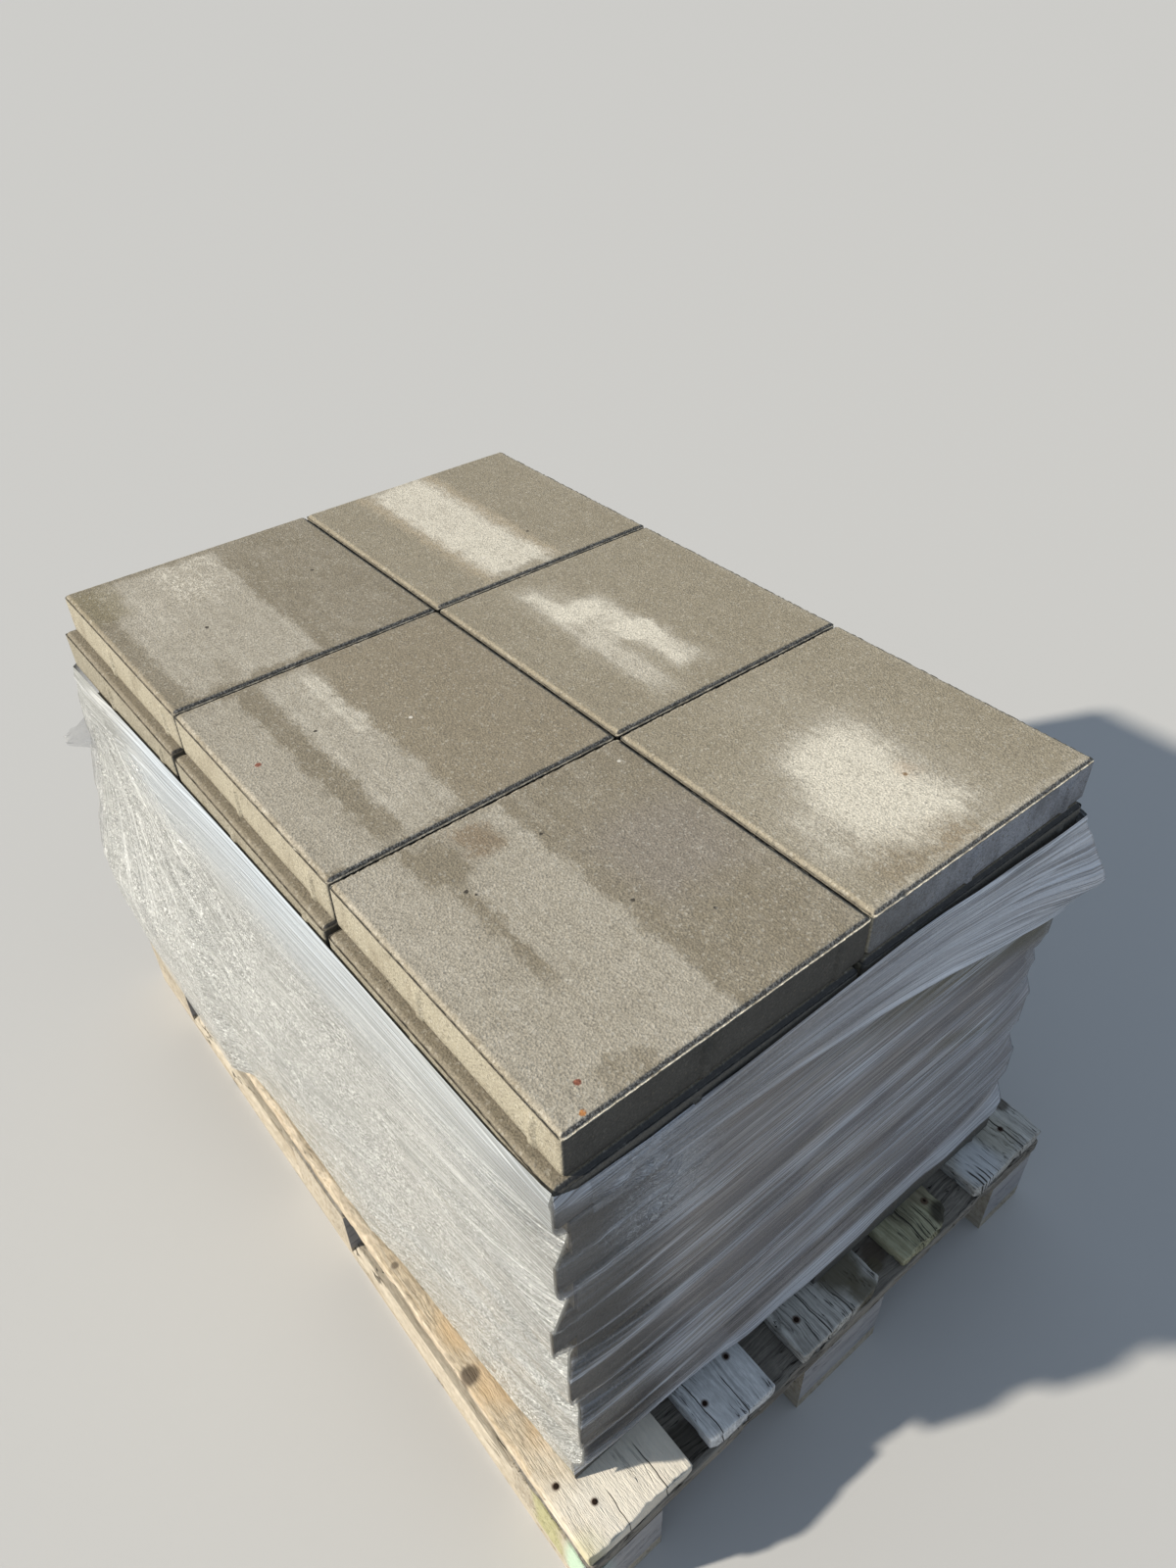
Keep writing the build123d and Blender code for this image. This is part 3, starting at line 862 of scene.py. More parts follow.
# Its rim and its hem on each side, anticlockwise from the near left corner: shares of the way along the side,
# then the rim's heights from the stack's top and the hem's from the floor
RIM_KNOTS = {
    "front": (
        [0.0, 0.035, 0.14, 0.25, 0.40, 0.60, 1.0],
        [-0.050, -0.063, -0.068, -0.066, -0.072, -0.082, -0.105],
    ),
    "right": ([0.0, 0.5, 1.0], [-0.105, -0.112, -0.118]),
    "back": ([0.0, 0.5, 1.0], [-0.118, -0.110, -0.106]),
    "left": ([0.0, 0.35, 0.68, 0.93, 1.0], [-0.106, -0.081, -0.065, -0.060, -0.050]),
}
HEM_KNOTS = {
    "front": ([0.0, 0.5, 1.0], [0.173, 0.178, 0.184]),
    "right": ([0.0, 0.3, 1.0], [0.184, 0.164, 0.150]),
    "back": ([0.0, 0.5, 1.0], [0.150, 0.155, 0.136]),
    "left": ([0.0, 0.10, 0.31, 0.34, 0.84, 1.0], [0.148, 0.140, 0.140, 0.1465, 0.1465, 0.173]),
}
SIDE_POINTS = {"front": 190, "right": 90, "back": 90, "left": 260}
FILM_LEVELS = 130
# How steeply the film is drawn in under and over a proud layer: at a corner, and away from it
STEPPED_DRAW = (1.5, 0.45)
STRAIGHT_DRAW = (0.045, 0.030)
# How far from a corner the steps fade out; the front has one distance for each of its ends
CORNER_FADES = {"front": (0.055, 0.040), "right": 0.050, "back": 0.050, "left": 0.075}
# How far the left side's foot stands out, by share of the way from the far end to the near one
FOOT_SHARES = [0.0, 0.10, 0.25, 0.30, 0.34, 0.42, 0.63, 0.70, 0.85, 1.0]
FOOT_PLACES = [-0.400, -0.404, -0.408, -0.409, -0.391, -0.386, -0.384, -0.376, -0.3705, -0.3680]
# Where the film's far left corner stands, by height
FAR_HEIGHTS = [0.10, 0.192, 0.275, 0.337, 0.415, 0.462, 0.504, 0.581, 0.627, 0.680]
FAR_PLACES = [-0.400, -0.411, -0.419, -0.421, -0.405, -0.395, -0.387, -0.378, -0.376, -0.371]

# The bottom layer's left column stands back from its right one by this much
COLUMN_SLIP = 18 * MM
COLUMN_WIDTH = 0.34

layer_low, layer_high = {}, {}
for layer in range(1, LAYERS + 1):
    if layer in SINGLE_LEVELS:
        boxes = [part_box(f"{SINGLE_LEVELS[layer]}_slab_{number}") for number in LAYER_SLABS]
    else:
        boxes = [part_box(f"slab_layer_{layer:02d}")]
    layer_low[layer] = np.min([np.array(box[0]) for box in boxes], axis=0)
    layer_high[layer] = np.max([np.array(box[1]) for box in boxes], axis=0)
stack_top = layer_high[1][2]


def profile(height, reach_of, under, over):
    """How far out the film stands at each height, drawn in under and over each proud layer."""
    out = np.full(height.shape, -10.0)
    for layer in range(2, LAYERS + 1):
        below = np.clip(layer_low[layer][2] - height, 0, None) * under
        above = np.clip(height - layer_high[layer][2], 0, None) * over
        out = np.maximum(out, reach_of(layer) - below - above)
    return out


REACHES = {
    "front": lambda layer: -layer_low[layer][1],
    "right": lambda layer: layer_high[layer][0],
    "back": lambda layer: layer_high[layer][1],
    "left": lambda layer: -layer_low[layer][0],
}


def side_profile(side, height, from_corner, fade):
    """The film's stand-off on one side: stepped at a corner and drawn straight away from it."""
    stepped = profile(height, REACHES[side], *STEPPED_DRAW)
    straight = profile(height, REACHES[side], *STRAIGHT_DRAW)
    step_share = np.exp(-from_corner / fade)
    return straight + (stepped - straight) * step_share + FILM_SKIN


def film_sheet():
    """Positions of the film's points, level by level from the rim down, and facts about each."""
    sides, shares = [], []
    for side, count in SIDE_POINTS.items():
        sides += [side] * count
        shares.append(np.arange(count) / count)
    sides = np.array(sides)
    shares = np.concatenate(shares)
    level = np.linspace(0, 1, FILM_LEVELS)
    rim = np.zeros(len(sides))
    hem = np.zeros(len(sides))
    for side in SIDE_POINTS:
        on = sides == side
        rim[on] = stack_top + np.interp(shares[on], *RIM_KNOTS[side])
        hem[on] = np.interp(shares[on], *HEM_KNOTS[side])
    height = rim + (hem - rim) * level[:, None]
    share = np.broadcast_to(shares, height.shape)
    length = layer_high[6][1] - layer_low[6][1]
    width = layer_high[6][0] - layer_low[6][0]

    at_corner = {side: side_profile(side, height, 0 * share, 1) for side in SIDE_POINTS}
    near_left_x, near_y = -at_corner["left"], -at_corner["front"]
    right_x, far_y = at_corner["right"], at_corner["back"]
    tuck = COLUMN_SLIP * smooth(height, 0.212, 0.192)
    down = np.clip((rim - height) / (rim - hem), 0, 1)
    far_left_x = np.interp(height, FAR_HEIGHTS, FAR_PLACES)
    plain_x = -profile(height, REACHES["left"], *STRAIGHT_DRAW) - FILM_SKIN
    bulge = np.minimum(far_left_x - plain_x - np.minimum(FOOT_PLACES[0] - plain_x, 0) * down ** 1.1, 0)
    far_left_y = far_y + 0.012 * np.sin(math.pi * np.clip(down, 0, 1))

    x = np.zeros(height.shape)
    y = np.zeros(height.shape)
    on = sides == "front"
    t = share[:, on]
    x[:, on] = near_left_x[:, on] + (right_x[:, on] - near_left_x[:, on]) * t
    from_left = t * width
    from_right = (1 - t) * width
    y[:, on] = -np.where(
        from_left < from_right,
        side_profile("front", height[:, on], from_left, CORNER_FADES["front"][0]),
        side_profile("front", height[:, on], from_right, CORNER_FADES["front"][1]),
    )
    y[:, on] += tuck[:, on] * np.clip(1 - from_left / COLUMN_WIDTH, 0, 1)
    on = sides == "right"
    t = share[:, on]
    y[:, on] = near_y[:, on] + (far_y[:, on] - near_y[:, on]) * t
    gap = np.minimum(t, 1 - t) * length
    x[:, on] = side_profile("right", height[:, on], gap, CORNER_FADES["right"])
    on = sides == "back"
    t = share[:, on]
    x[:, on] = right_x[:, on] + (far_left_x[:, on] - right_x[:, on]) * t
    flat_back = side_profile("back", height[:, on], t * width, CORNER_FADES["back"])
    y[:, on] = flat_back + (far_left_y[:, on] - far_y[:, on]) * t ** 2
    on = sides == "left"
    t = share[:, on]
    y[:, on] = far_left_y[:, on] + (near_y[:, on] + tuck[:, on] - far_left_y[:, on]) * t
    tight = -side_profile("left", height[:, on], (1 - t) * length, CORNER_FADES["left"])
    foot = np.interp(t, FOOT_SHARES, FOOT_PLACES)
    lean = down[:, on] ** 1.1 * smooth(1 - t, 0.0, 0.16)
    x[:, on] = tight + np.minimum(foot - tight, 0) * lean + bulge[:, on] * (1 - t) ** 1.5
    points = np.stack([x, y, height], axis=2)
    return points, sides, share, down


# Lower edge of the front's folded upper band, and an olive streak below it, by place along X; just under that
# edge the olive is painted shade cast by the band
BAND_EDGE_X = [-0.335, -0.10, 0.017, 0.126, 0.254, 0.339, 0.372]
BAND_EDGE_Z = [0.664, 0.645, 0.630, 0.613, 0.583, 0.553, 0.551]
OLIVE_X = [0.160, 0.270]
OLIVE_Z = [0.475, 0.415]

# Points, by place along Y and height, that the left side's pleats run from
FAN_NEAR = (-0.545, 0.668)
FAN_PULL = (-1.50, 0.760)
FAN_PULL_REACH = 1.4
FAN_FAR = (0.50, 0.700)
# Lengths of the front and the left side, for distances from a corner
FRONT_LENGTH = 0.71
LEFT_LENGTH = 1.06
# Where the left side's hem stands over the deck and may not come below this height
OVER_DECK_X = -0.400
OVER_DECK_Z = 0.1462


def fold_film(points, sides, share, down):
    """Pushes the film in and out along its folds; returns streak coordinates for the material."""
    rows = len(share)
    flat = points.reshape(-1, 3)
    side = np.tile(sides, rows)
    around = np.tile(share[0], rows)
    on_left = side == "left"
    on_front = side == "front"
    x, y, z = flat.T
    far_from_near = np.hypot(y - FAN_NEAR[0], z - FAN_NEAR[1])
    pull_angle = np.arctan2(FAN_PULL[1] - z, y - FAN_PULL[0])
    pull_distance = np.hypot(y - FAN_PULL[0], z - FAN_PULL[1])
    far_from_far = np.hypot(FAN_FAR[0] - y, FAN_FAR[1] - z)
    far_angle = np.arctan2(FAN_FAR[1] - z, FAN_FAR[0] - y)
    along = np.select([on_left, on_front, side == "right"], [pull_distance, x, y], -x)
    across = np.where(on_left, pull_angle * FAN_PULL_REACH, z)
    bend = noise(np.column_stack([along, across]), (0.25, 0.08), 31) - 0.5
    across = across + bend * np.where(on_left, 0.030, 0.010)

    spread = smooth(far_from_near, 0.05, 0.60)
    fan = np.column_stack([along, across])
    folds = creases(fan, (0.90, 0.060), 41) * 2.6 + creases(fan, (0.60, 0.022), 42) * 1.2
    folds += creases(fan, (0.35, 0.009), 43, 3) * 0.5
    billow = layered(flat, (0.2, 0.34, 0.16), 48) * 3.0 * spread
    push = folds * (0.25 + 0.75 * spread) + billow
    hang = far_angle * 0.30 + (noise(flat, 0.12, 47) - 0.5) * 0.018
    hanging = np.column_stack([far_from_far, hang])
    slump = creases(hanging, (0.90, 0.050), 45, 4) * 6 + creases(hanging, (0.60, 0.022), 46, 4) * 2.2
    slump_share = smooth(far_from_far, 0.03, 0.14) * smooth(far_from_far, 0.62, 0.30)
    push = push + slump * slump_share
    taut = np.column_stack([along, z])
    flat_folds = creases(taut, (0.70, 0.035), 51) * 1.0 + creases(taut, (0.40, 0.010), 52) * 0.5
    hem_band = smooth(z, 0.235, 0.200)
    flat_folds += creases(taut, (0.9, 0.009), 55, 3) * 2.4 * hem_band
    corner_gap = np.where(on_front, around, 1.0) * FRONT_LENGTH
    near_corner = smooth(corner_gap, 0.02, 0.07) * smooth(corner_gap, 0.20, 0.10) * smooth(z, 0.54, 0.60)
    diagonal = np.column_stack([x + z * 0.6, x * 0.6 - z])
    crumple = creases(diagonal, (0.08, 0.016), 53, 3) * 6 * near_corner
    push = np.where(on_left, push, flat_folds + crumple) * MM
    drop = down.ravel()
    push = push * smooth(np.minimum(around, 1 - around), 0.0, 0.035) * smooth(drop, 0.01, 0.06)
    rim_roll = np.exp(-(((drop - 0.022) / 0.012) ** 2)) - 1.1 * smooth(drop, 0.012, 0.0)
    push = push + rim_roll * 1.8 * MM
    outward = np.zeros((len(flat), 2))
    outward[on_front] = (0, -1)
    outward[side == "right"] = (1, 0)
    outward[side == "back"] = (0, 1)
    outward[on_left] = (-1, 0)
    flat[:, :2] += outward * push[:, None]
    hem_wave = (noise(np.column_stack([along, 0 * along]), (0.060, 1), 61) - 0.5) * smooth(drop, 0.90, 1.0)
    flat[:, 2] += hem_wave * np.where(on_left, 0.0, 0.014)
    lifted = on_left & (flat[:, 0] > OVER_DECK_X) & (flat[:, 2] < OVER_DECK_Z)
    flat[:, 2] = np.where(lifted, OVER_DECK_Z, flat[:, 2])
    clinging = np.where(on_front, smooth(corner_gap, 0.15, 0.04), 0.0)
    density = 0.74 + 0.35 * np.maximum(smooth(drop, 0.05, 0.0), smooth(drop, 0.88, 0.96))
    density = density - clinging * 0.66
    far_gap = around * LEFT_LENGTH
    left_density = 1.08 - 0.85 * smooth(far_gap, 0.055, 0.015) * smooth(drop, 0.10, 0.25)
    left_density -= 0.45 * smooth(far_from_near, 0.14, 0.04)
    density = np.where(on_left, left_density, density)
    back_share = np.where(side == "back", around, 0.0)
    density = density - 0.55 * smooth(back_share, 0.88, 0.96)
    # Shine, read by the material as painted sheen: along the rim and the upper quarter of the left side, and
    # along the rim, the hem and the near corner elsewhere, with painted highlights along the layer edges near
    # that corner on the front
    left_shine = 0.60 * smooth(drop, 0.060, 0.020) + 0.70 * smooth(drop, 0.24, 0.06)
    left_shine = np.minimum(left_shine, 0.85) * (0.45 + 0.55 * smooth(far_gap, 0.90, 0.60))
    left_shine = left_shine * smooth(far_gap, 0.10, 0.30)
    plain_shine = 0.5 * smooth(drop, 0.90, 0.94) + 0.45 * smooth(drop, 0.09, 0.02) + 0.35 * near_corner
    edges = [layer_low[layer][2] + 0.05 * corner_gap for layer in range(3, LAYERS)]
    to_edge = np.abs(z - edges).min(axis=0)
    plain_shine += 0.65 * smooth(to_edge, 0.0055, 0.0015) * smooth(corner_gap, 0.20, 0.05) * on_front
    shine = np.where(on_left, left_shine, plain_shine)
    left_crush = 0.42 + 0.58 * smooth(drop, 0.10, 0.28) * smooth(far_from_near, 0.12, 0.42)
    left_crush = left_crush * smooth(drop, 0.03, 0.16)
    crushed = np.select([on_left, on_front], [left_crush, near_corner], 0.4)
    hem_glimpse = smooth(drop, 0.86, 0.97) * smooth(far_gap, 0.36, 0.28) * smooth(far_gap, 0.02, 0.08)
    density = density - np.where(on_left, 0.62 * hem_glimpse, 0)
    hung = np.where(on_left, slump_share * smooth(far_angle, 0.15, 0.45) * smooth(drop, 0.05, 0.12), 0)
    # Olive: painted shade just under the band's lower edge, and a streak lower down
    under = np.interp(x, BAND_EDGE_X, BAND_EDGE_Z) - z
    olive = 0.95 * smooth(under, 0.0, 0.006) * smooth(under, 0.060, 0.014) * smooth(x, -0.12, 0.16)
    from_streak = np.abs(z - np.interp(x, OLIVE_X, OLIVE_Z))
    olive += 0.6 * smooth(from_streak, 0.020, 0.004) * smooth(x, 0.12, 0.18) * smooth(x, 0.31, 0.25)
    olive = np.where(on_front, olive, 0)
    return flat, (along, across), (far_from_far, hang), (density, shine, crushed, hung, olive)


# What the film's material reads at each point
AMOUNTS = ("turns", "shine", "crushed", "hung", "olive")
# Film as a painted lit copy and a painted shaded copy, each from dark to pale, and what lies over it:
# the stones seen through, painted shade in creases, furrows and hollows, painted highlights on strands,
# crests and hairlines, painted glints, an olive that is partly painted shade, and painted sheen
LIT_FILM = ((0.226, 0.231, 0.220), (0.280, 0.285, 0.269))
SHADED_FILM = ((0.245, 0.232, 0.240), (0.285, 0.272, 0.285))
STONE_THROUGH = (0.250, 0.222, 0.208)
CREASE_SHADE = (0.13, 0.135, 0.13)
FURROW_SHADE = (0.105, 0.108, 0.105)
HOLLOW_SHADE = (0.135, 0.135, 0.125)
STRAND_HIGHLIGHT = (0.50, 0.51, 0.53)
CREST_HIGHLIGHT = (0.78, 0.79, 0.78)
GLINT = (0.97, 0.97, 0.94)
# Olive: painted shade just under the band, and a streak lower down
OLIVE = (0.165, 0.148, 0.098)
# Painted sheen, a bluish reflection of the sky, in the sun and in the shade
LIT_GLEAM = ((0.290, 0.324, 0.362), (0.475, 0.527, 0.588))
SHADED_GLEAM = ((0.235, 0.262, 0.305), (0.72, 0.78, 0.88))
HAIRLINE_HIGHLIGHT = (0.70, 0.76, 0.86)


def crest(lanes, size, width, detail=1.0, distortion=0.0):
    """Narrow lines, 1 on each line, that run along the film's pull."""
    return lanes.noise((*size, 1), detail, 0.5, distortion).line(0.0, width)


def film_material(name):
    """Clear film in several turns: milky where the turns pile up, drawn into fine streaks, with painted light
    in its colour: lit and shaded copies, highlights, glints, sheen and shade in its folds.
    """
    surface = Surface(name)
    surface.material.surface_render_method = "BLENDED"
    uv, hanging = [surface.field("ShaderNodeUVMap", "UV", uv_map=lanes) for lanes in ("streaks", "hanging")]
    turns, shine, crushed, hung, olive = [
        surface.field("ShaderNodeAttribute", "Fac", attribute_name=amount) for amount in AMOUNTS
    ]
    place = surface.place()
    x, y = place.axes()[:2]
    shaded = surface.facing()[1].within(-0.80, -0.45)
    long = uv.noise((0.90, 0.026, 1), 3.0, 0.55)
    cloud = place.noise((0.10, 0.10, 0.06), 3.0, 0.55)
    patch = place.noise((0.05, 0.06, 0.035), 2.0, 0.5)

    # Lines of the folds, painted as highlights, and fewer of them in the shade and where the film is crumpled
    lines_kept = (1.0 - shaded * 0.55) * (1.0 - crushed * 0.50)
    fold = crest(uv, (0.90, 0.022), 0.030).at_least(crest(uv, (0.60, 0.011), 0.040)) * lines_kept
    crease = crest(uv, (0.90, 0.034), 0.022)
    pleat = crest(uv, (0.40, 0.0080), 0.085) * cloud.between(0.40, 0.60) * lines_kept
    drape = crest(hanging, (0.60, 0.020), 0.045, 2.0, 0.4) * hung
    furrow = crest(hanging, (0.60, 0.030), 0.035, 1.0, 0.3) * hung

    # Crumpled film: painted highlights on fine crests, painted shade in the hollows and painted glints on
    # facets
    crackle = crest(uv, (0.0085, 0.0045), 0.085, 2.0, 1.6) * patch.between(0.12, 0.60) * crushed
    hollow = crest(uv, (0.0115, 0.0052), 0.070, 2.0, 1.4) * crushed * patch.between(0.15, 0.55)
    # Painted glints on facets of crumpled film, on the lit side only
    spark_gap, spark_chance = uv.grains((0.0058, 0.0031, 1))
    spark = spark_gap < spark_chance[0].between(0.35, 1.0, 0.0, 0.40)
    spark *= crushed * patch.between(0.30, 0.62) * (1.0 - shaded)

    # Film drawn into fine strands with painted highlights, gathered in bundles in the shade, where hairlines
    # get a bluish painted highlight
    strand = uv.noise((0.80, 0.0034, 1), 3.0, 0.7)
    bundle = uv.noise((0.70, 0.045, 1), 2.0, 0.5).between(0.42, 0.62)
    combed = (0.70 - crushed * 0.55 - shaded * 0.22).clamped()
    combed *= (1.0 - shaded * (1.0 - bundle) * 0.85) * (1.0 - hung * 0.60)
    strands = strand.between(0.48, 0.62) * combed * 0.85
    # Bluish painted highlights along hairlines in the shade
    hair = crest(uv, (0.42, 0.0070), 0.055).at_least(crest(uv, (0.25, 0.0036), 0.070))
    hair *= shaded * bundle.at_least(shine)

    body = turns + (long - 0.5) * 0.50 + (cloud - 0.5) * 0.28
    for lines, weight in ((fold, 0.25), (pleat, 0.20), (crackle, 0.25), (drape, 0.3), (shine, 0.6)):
        body += lines * weight

    tone = long.between(0.32, 0.68)
    # The painted lit copy, a little darker toward the front, and on faces toward -Y the painted shaded copy,
    # darker toward the near left
    colour = tone.mix(*LIT_FILM) * y.between(-0.53, -0.33, 0.84, 1.0)
    shade_colour = tone.mix(*SHADED_FILM).toward(STONE_THROUGH, cloud.between(0.42, 0.66, 0.0, 0.8))
    colour = colour.toward(shade_colour * x.between(-0.36, 0.05, 0.74, 1.0), shaded)
    # Painted shade in creases, furrows and hollows
    colour = colour.toward(CREASE_SHADE, crease * 0.20).toward(FURROW_SHADE, furrow * 0.62).toward(HOLLOW_SHADE, hollow * 0.50)
    # Painted highlights along strands and on the crests of folds, pleats, crackles and drapes
    colour = colour.toward(STRAND_HIGHLIGHT, strands)
    for lines, weight in ((fold, 0.30), (pleat, 0.26), (crackle, 0.80), (drape, 0.52)):
        colour = colour.toward(CREST_HIGHLIGHT, lines * weight)
    colour = colour.toward(GLINT, spark * 0.78).toward(OLIVE, olive)
    # Painted sheen where the film's shine is high
    lit_gleam = strand.between(0.42, 0.60).mix(*LIT_GLEAM)
    gleam = lit_gleam.toward(strand.between(0.45, 0.57).mix(*SHADED_GLEAM), shaded)
    colour = colour.toward(gleam, shine).toward(HAIRLINE_HIGHLIGHT, hair * 0.78)

    height = fold * 0.45
    for lines, weight in ((pleat, 0.28), (crackle, 0.55), (drape, 0.9), (furrow, -0.8), (strands, 0.25)):
        height += lines * weight
    return surface.finish(
        Base_Color=colour, Alpha=body.between(0.0, 1.30, 0.22, 0.97),
        Roughness=long.between(0.3, 0.7, 0.24, 0.12), Normal=height.bump(0.0018, 0.9), IOR=1.5,
    )


def dress_film(piece, streaks, hanging, amounts):
    """Gives a film piece two sets of streak coordinates and the amounts that its material reads."""
    mesh = piece.data
    index = np.zeros(len(mesh.loops), np.int32)
    mesh.loops.foreach_get("vertex_index", index)
    for name, pair in (("streaks", streaks), ("hanging", hanging)):
        layer = mesh.uv_layers.new(name=name)
        layer.data.foreach_set("uv", np.column_stack(pair)[index].astype(np.float32).ravel())
    for name, values in zip(AMOUNTS, amounts):
        attribute = mesh.attributes.new(name, "FLOAT", "POINT")
        attribute.data.foreach_set("value", np.asarray(values, np.float32))


film = film_material("stretch_film")
points, sides, share, down = film_sheet()
flat, streaks, hanging, amounts = fold_film(points, sides, share, down)
film_faces = grid_faces(FILM_LEVELS, len(sides), closed=True)
main_film = new_piece("film_main", flat, film_faces, film, "film", "stretch_wrap")
dress_film(main_film, streaks, hanging, amounts)

# The upper turns of film, pulled off the right corner into a flat ear
BAND_START = -0.335
# Its rim, by place along X and distance below the stack's top
BAND_RIM_X = [-0.335, -0.26, -0.17, -0.07, 0.06, 0.11, 0.16, 0.22, 0.28, 0.335]
BAND_RIM_DROP = [-0.064, -0.066, -0.064, -0.060, -0.055, -0.056, -0.060, -0.062, -0.065, -0.067]
# How far the ear stands out from the corner, by height
EAR_HEIGHTS = [0.549, 0.585, 0.607, 0.614, 0.629, 0.648, 0.676, 0.703]
EAR_OUTS = [0.0, 0.0185, 0.0340, 0.0365, 0.0310, 0.0195, 0.0060, 0.0]
EAR_TURN = math.radians(-60)
BAND_END_Y = -0.20
BAND_ROWS = 30
BAND_FRONT = 190
BAND_SIDE = 60
# Shares of the way past the corner where the band's foot has a bend, and its heights there
BAND_FOOT_SHARES = [0, 0.15, 1]
BAND_FOOT_HEIGHTS = [BAND_EDGE_Z[-1], 0.570, 0.610]


def make_band():
    """The folded upper band of film with its ear beyond the right corner."""
    down = np.linspace(0, 1, BAND_ROWS)[:, None]
    ahead = np.linspace(0, 1, BAND_FRONT)[None, :]
    corner_x = layer_high[3][0] + 2 * MM
    face_y = layer_low[2][1] - 3.5 * MM
    x = BAND_START + (corner_x - BAND_START) * ahead + 0 * down
    rim = stack_top + np.interp(x, BAND_RIM_X, BAND_RIM_DROP)
    low = np.interp(x, BAND_EDGE_X, BAND_EDGE_Z)
    z = rim + (low - rim) * down
    lift = np.interp(z, EAR_HEIGHTS, EAR_OUTS) * ahead**4
    drawn_in = (corner_x - layer_high[2][0] - 1.5 * MM) * smooth(z, 0.668, 0.700) * ahead
    y = face_y + lift * math.sin(EAR_TURN) + 3.0 * MM * smooth(down, 0.25, 0.0)
    front = np.stack([x - drawn_in + lift * math.cos(EAR_TURN), y, z], axis=2)
    tip_x, tip_y, tip_z = [front[:, -1:, axis] for axis in range(3)]
    past = np.linspace(0, 1, BAND_SIDE + 1)[None, 1:]
    back_x = layer_high[3][0] + 2.5 * MM
    side_y = tip_y + (BAND_END_Y - tip_y) * past**1.15
    side_x = back_x + (tip_x - back_x) * (1 - past) ** 5
    side_rim = stack_top + BAND_RIM_DROP[-1] - 0.016 * past
    side_foot = np.interp(past, BAND_FOOT_SHARES, BAND_FOOT_HEIGHTS)
    side_z = side_rim + (side_foot - side_rim) * down
    side_z = tip_z + (side_z - tip_z) * smooth(past, 0.0, 0.35)
    side = np.stack([side_x, side_y, side_z], axis=2)
    points = np.concatenate([front, side], axis=1)
    columns = points.shape[1]
    flat = points.reshape(-1, 3)
    step = np.linalg.norm(np.diff(points[BAND_ROWS // 2], axis=0), axis=1)
    along = np.tile(np.concatenate([[0], np.cumsum(step)]), BAND_ROWS)
    across = np.repeat(down.ravel() * 0.09, columns)
    lanes = np.column_stack([along, across])
    push = (creases(lanes, (0.70, 0.014), 71, 3) * 3.2 + creases(lanes, (0.40, 0.006), 72, 3) * 1.4) * MM
    drop = np.repeat(down.ravel(), columns)
    for middle, width in ((0.96, 0.035), (0.03, 0.03)):
        push = push + np.exp(-(((drop - middle) / width) ** 2)) * 1.4 * MM
    push = push * smooth(along, 0.0, 0.10)
    on_front = np.tile(np.arange(columns) < BAND_FRONT, BAND_ROWS)
    flat[:, 1] -= np.where(on_front, push, 0)
    flat[:, 0] += np.where(on_front, 0, push * 0.6)
    density = 0.62 + 0.35 * np.maximum(smooth(drop, 0.12, 0.0), smooth(drop, 0.90, 1.0))
    run_out = smooth(along, along.max() - 0.16, along.max())
    density = density * smooth(along, -0.02, 0.22) - 0.75 * run_out
    piece = new_piece("film_band", flat, grid_faces(BAND_ROWS, columns, closed=False), film, "film")
    # Shine for painted sheen along the band's top and bottom edges and toward the ear, gone where the band
    # runs out
    shine = 0.30 * smooth(drop, 0.84, 0.93) + 0.3 * smooth(drop, 0.10, 0.03)
    shine = (shine + 0.60 * smooth(along, 0.15, 0.55)) * (1 - run_out)
    none = 0 * drop
    dress_film(piece, (along, across), (along, across), (density, shine, none + 0.25, none, none))
    return piece


make_band()

# Loose end of film at the far left corner, in metres from its root
TAIL_ROOT = (-0.381, 0.537, 0.556)
TAIL_SIZE = (0.034, 0.056)
TAIL_STEPS = 28


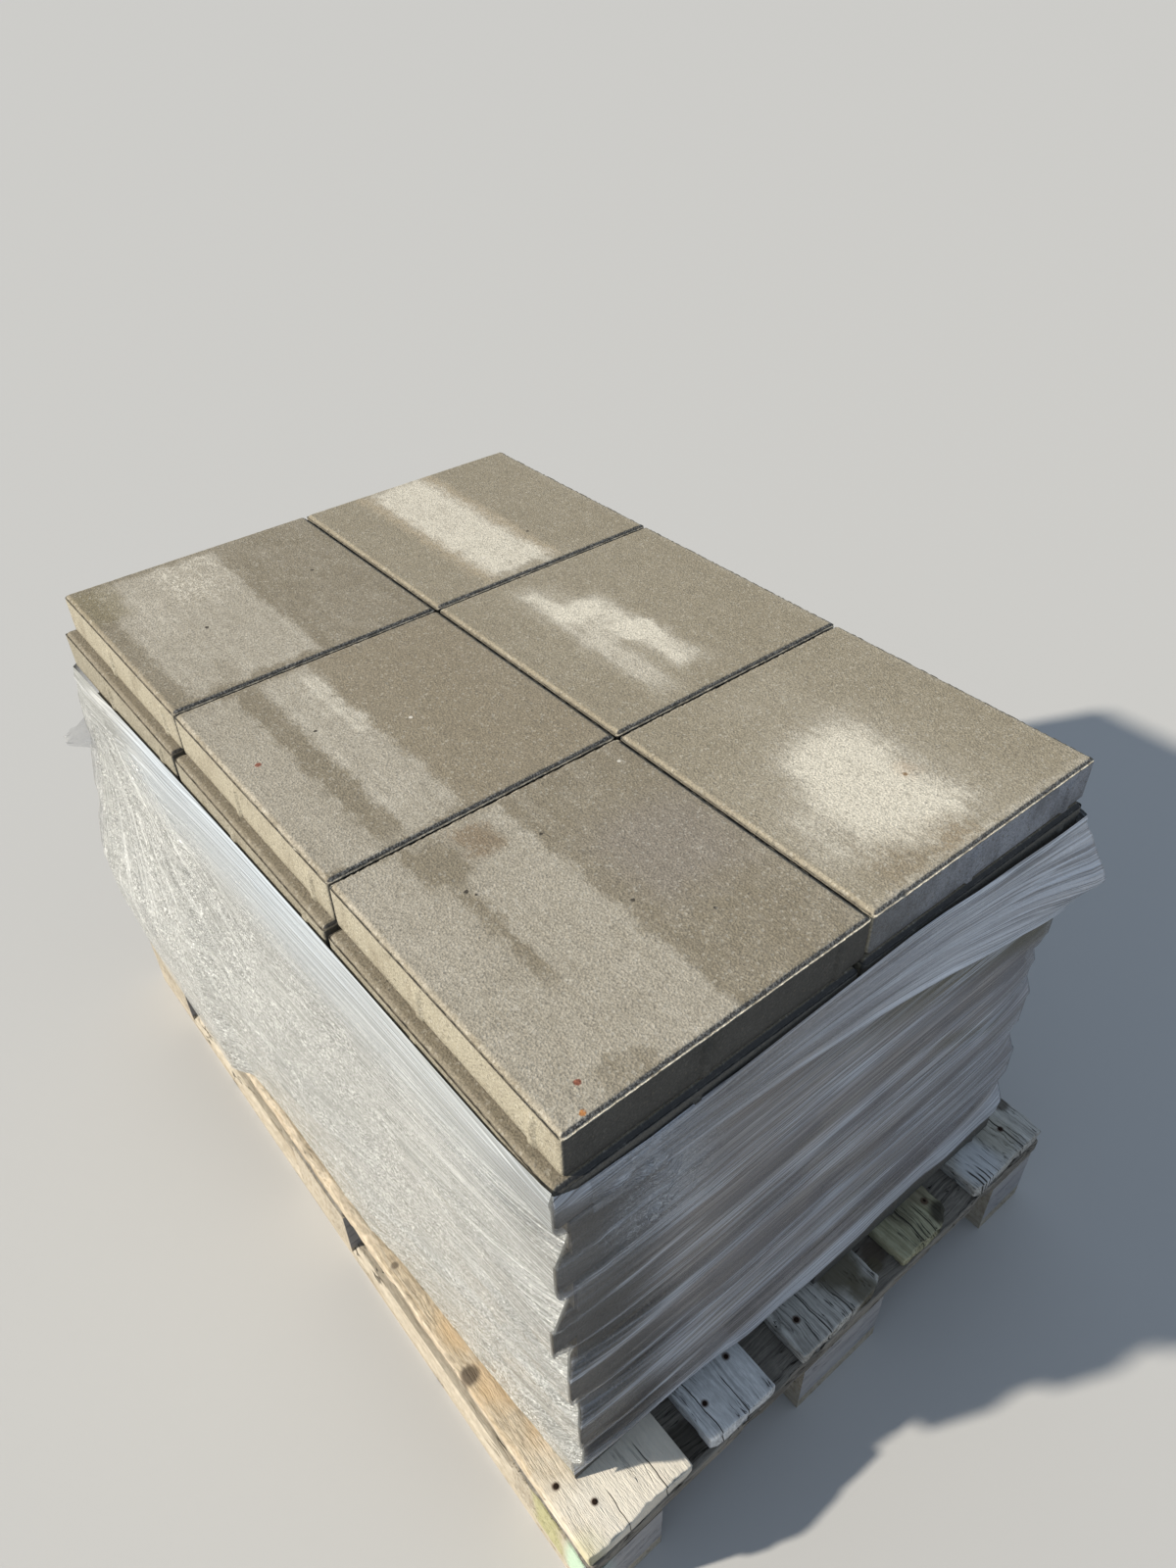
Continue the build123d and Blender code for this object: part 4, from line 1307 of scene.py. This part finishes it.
def make_tail():
    """A small crumpled end of film that sticks out at the far left corner."""
    steps = np.linspace(0, 1, TAIL_STEPS)
    ahead, down = [share.ravel() for share in np.meshgrid(steps, steps, indexing="ij")]
    taper = 1 - 0.75 * ahead
    out = ahead * TAIL_SIZE[0]
    height = (0.5 - down) * TAIL_SIZE[1] * taper - ahead * 0.010
    lanes = np.column_stack([ahead * 0.05, down * 0.05])
    crush = (ridges(lanes, (0.05, 0.009), 81) ** 2 * 9 + ridges(lanes, (0.02, 0.006), 82) * 5) * MM * ahead
    x = TAIL_ROOT[0] - out * 0.86
    y = TAIL_ROOT[1] + out * 0.25 + crush
    flat = np.column_stack([x - crush * 0.3, y, TAIL_ROOT[2] + height + crush * 0.3])
    piece = new_piece("film_tail", flat, grid_faces(TAIL_STEPS, TAIL_STEPS, closed=False), film, "film")
    lanes = (ahead * 0.06, down * 0.05)
    none = 0 * ahead
    dress_film(piece, lanes, lanes, (0.30 * (1 - ahead) - 0.05, none, none + 1, none, none))


make_tail()


def make_stage():
    """Pale floor, one soft sun-like key light and a dim sky."""
    mesh = bpy.data.meshes.new("floor")
    signs = ((-1, -1), (1, -1), (1, 1), (-1, 1))
    mesh.from_pydata([(x * FLOOR_HALF, y * FLOOR_HALF, 0) for x, y in signs], [], [(0, 1, 2, 3)])
    floor = bpy.data.objects.new("floor", mesh)
    bpy.context.scene.collection.objects.link(floor)
    matt = Surface("floor").finish(Base_Color=FLOOR_COLOUR, Roughness=0.95, Specular_IOR_Level=0.1)
    mesh.materials.append(matt)
    sun = bpy.data.lights.new("key", "SUN")
    sun.energy = SUN_STRENGTH
    sun.angle = math.radians(SUN_SPREAD)
    sun.color = SUN_COLOUR
    lamp = bpy.data.objects.new("key", sun)
    lamp.rotation_mode = "QUATERNION"
    lamp.rotation_quaternion = Vector(SUN_TRAVEL).to_track_quat("-Z", "Y")
    bpy.context.scene.collection.objects.link(lamp)
    world = bpy.data.worlds.new("sky")
    world.use_nodes = True
    sky = world.node_tree.nodes["Background"].inputs
    sky["Color"].default_value = (*SKY_COLOUR, 1.0)
    sky["Strength"].default_value = SKY_STRENGTH
    bpy.context.scene.world = world


def make_camera():
    """The photograph's camera."""
    data = bpy.data.cameras.new("camera")
    data.sensor_fit = "VERTICAL"
    data.sensor_width = CAMERA_SENSOR
    data.sensor_height = CAMERA_SENSOR
    data.lens = CAMERA_LENS
    data.clip_end = CAMERA_REACH
    camera = bpy.data.objects.new("camera", data)
    bpy.context.scene.collection.objects.link(camera)
    up, back = -Vector(CAMERA_DOWN), -Vector(CAMERA_AHEAD)
    axes = Matrix((CAMERA_RIGHT, up, back)).transposed()
    camera.matrix_world = Matrix.Translation(CAMERA_PLACE) @ axes.to_4x4()
    bpy.context.scene.camera = camera


make_stage()
make_camera()
bpy.context.scene.view_settings.view_transform = "Standard"
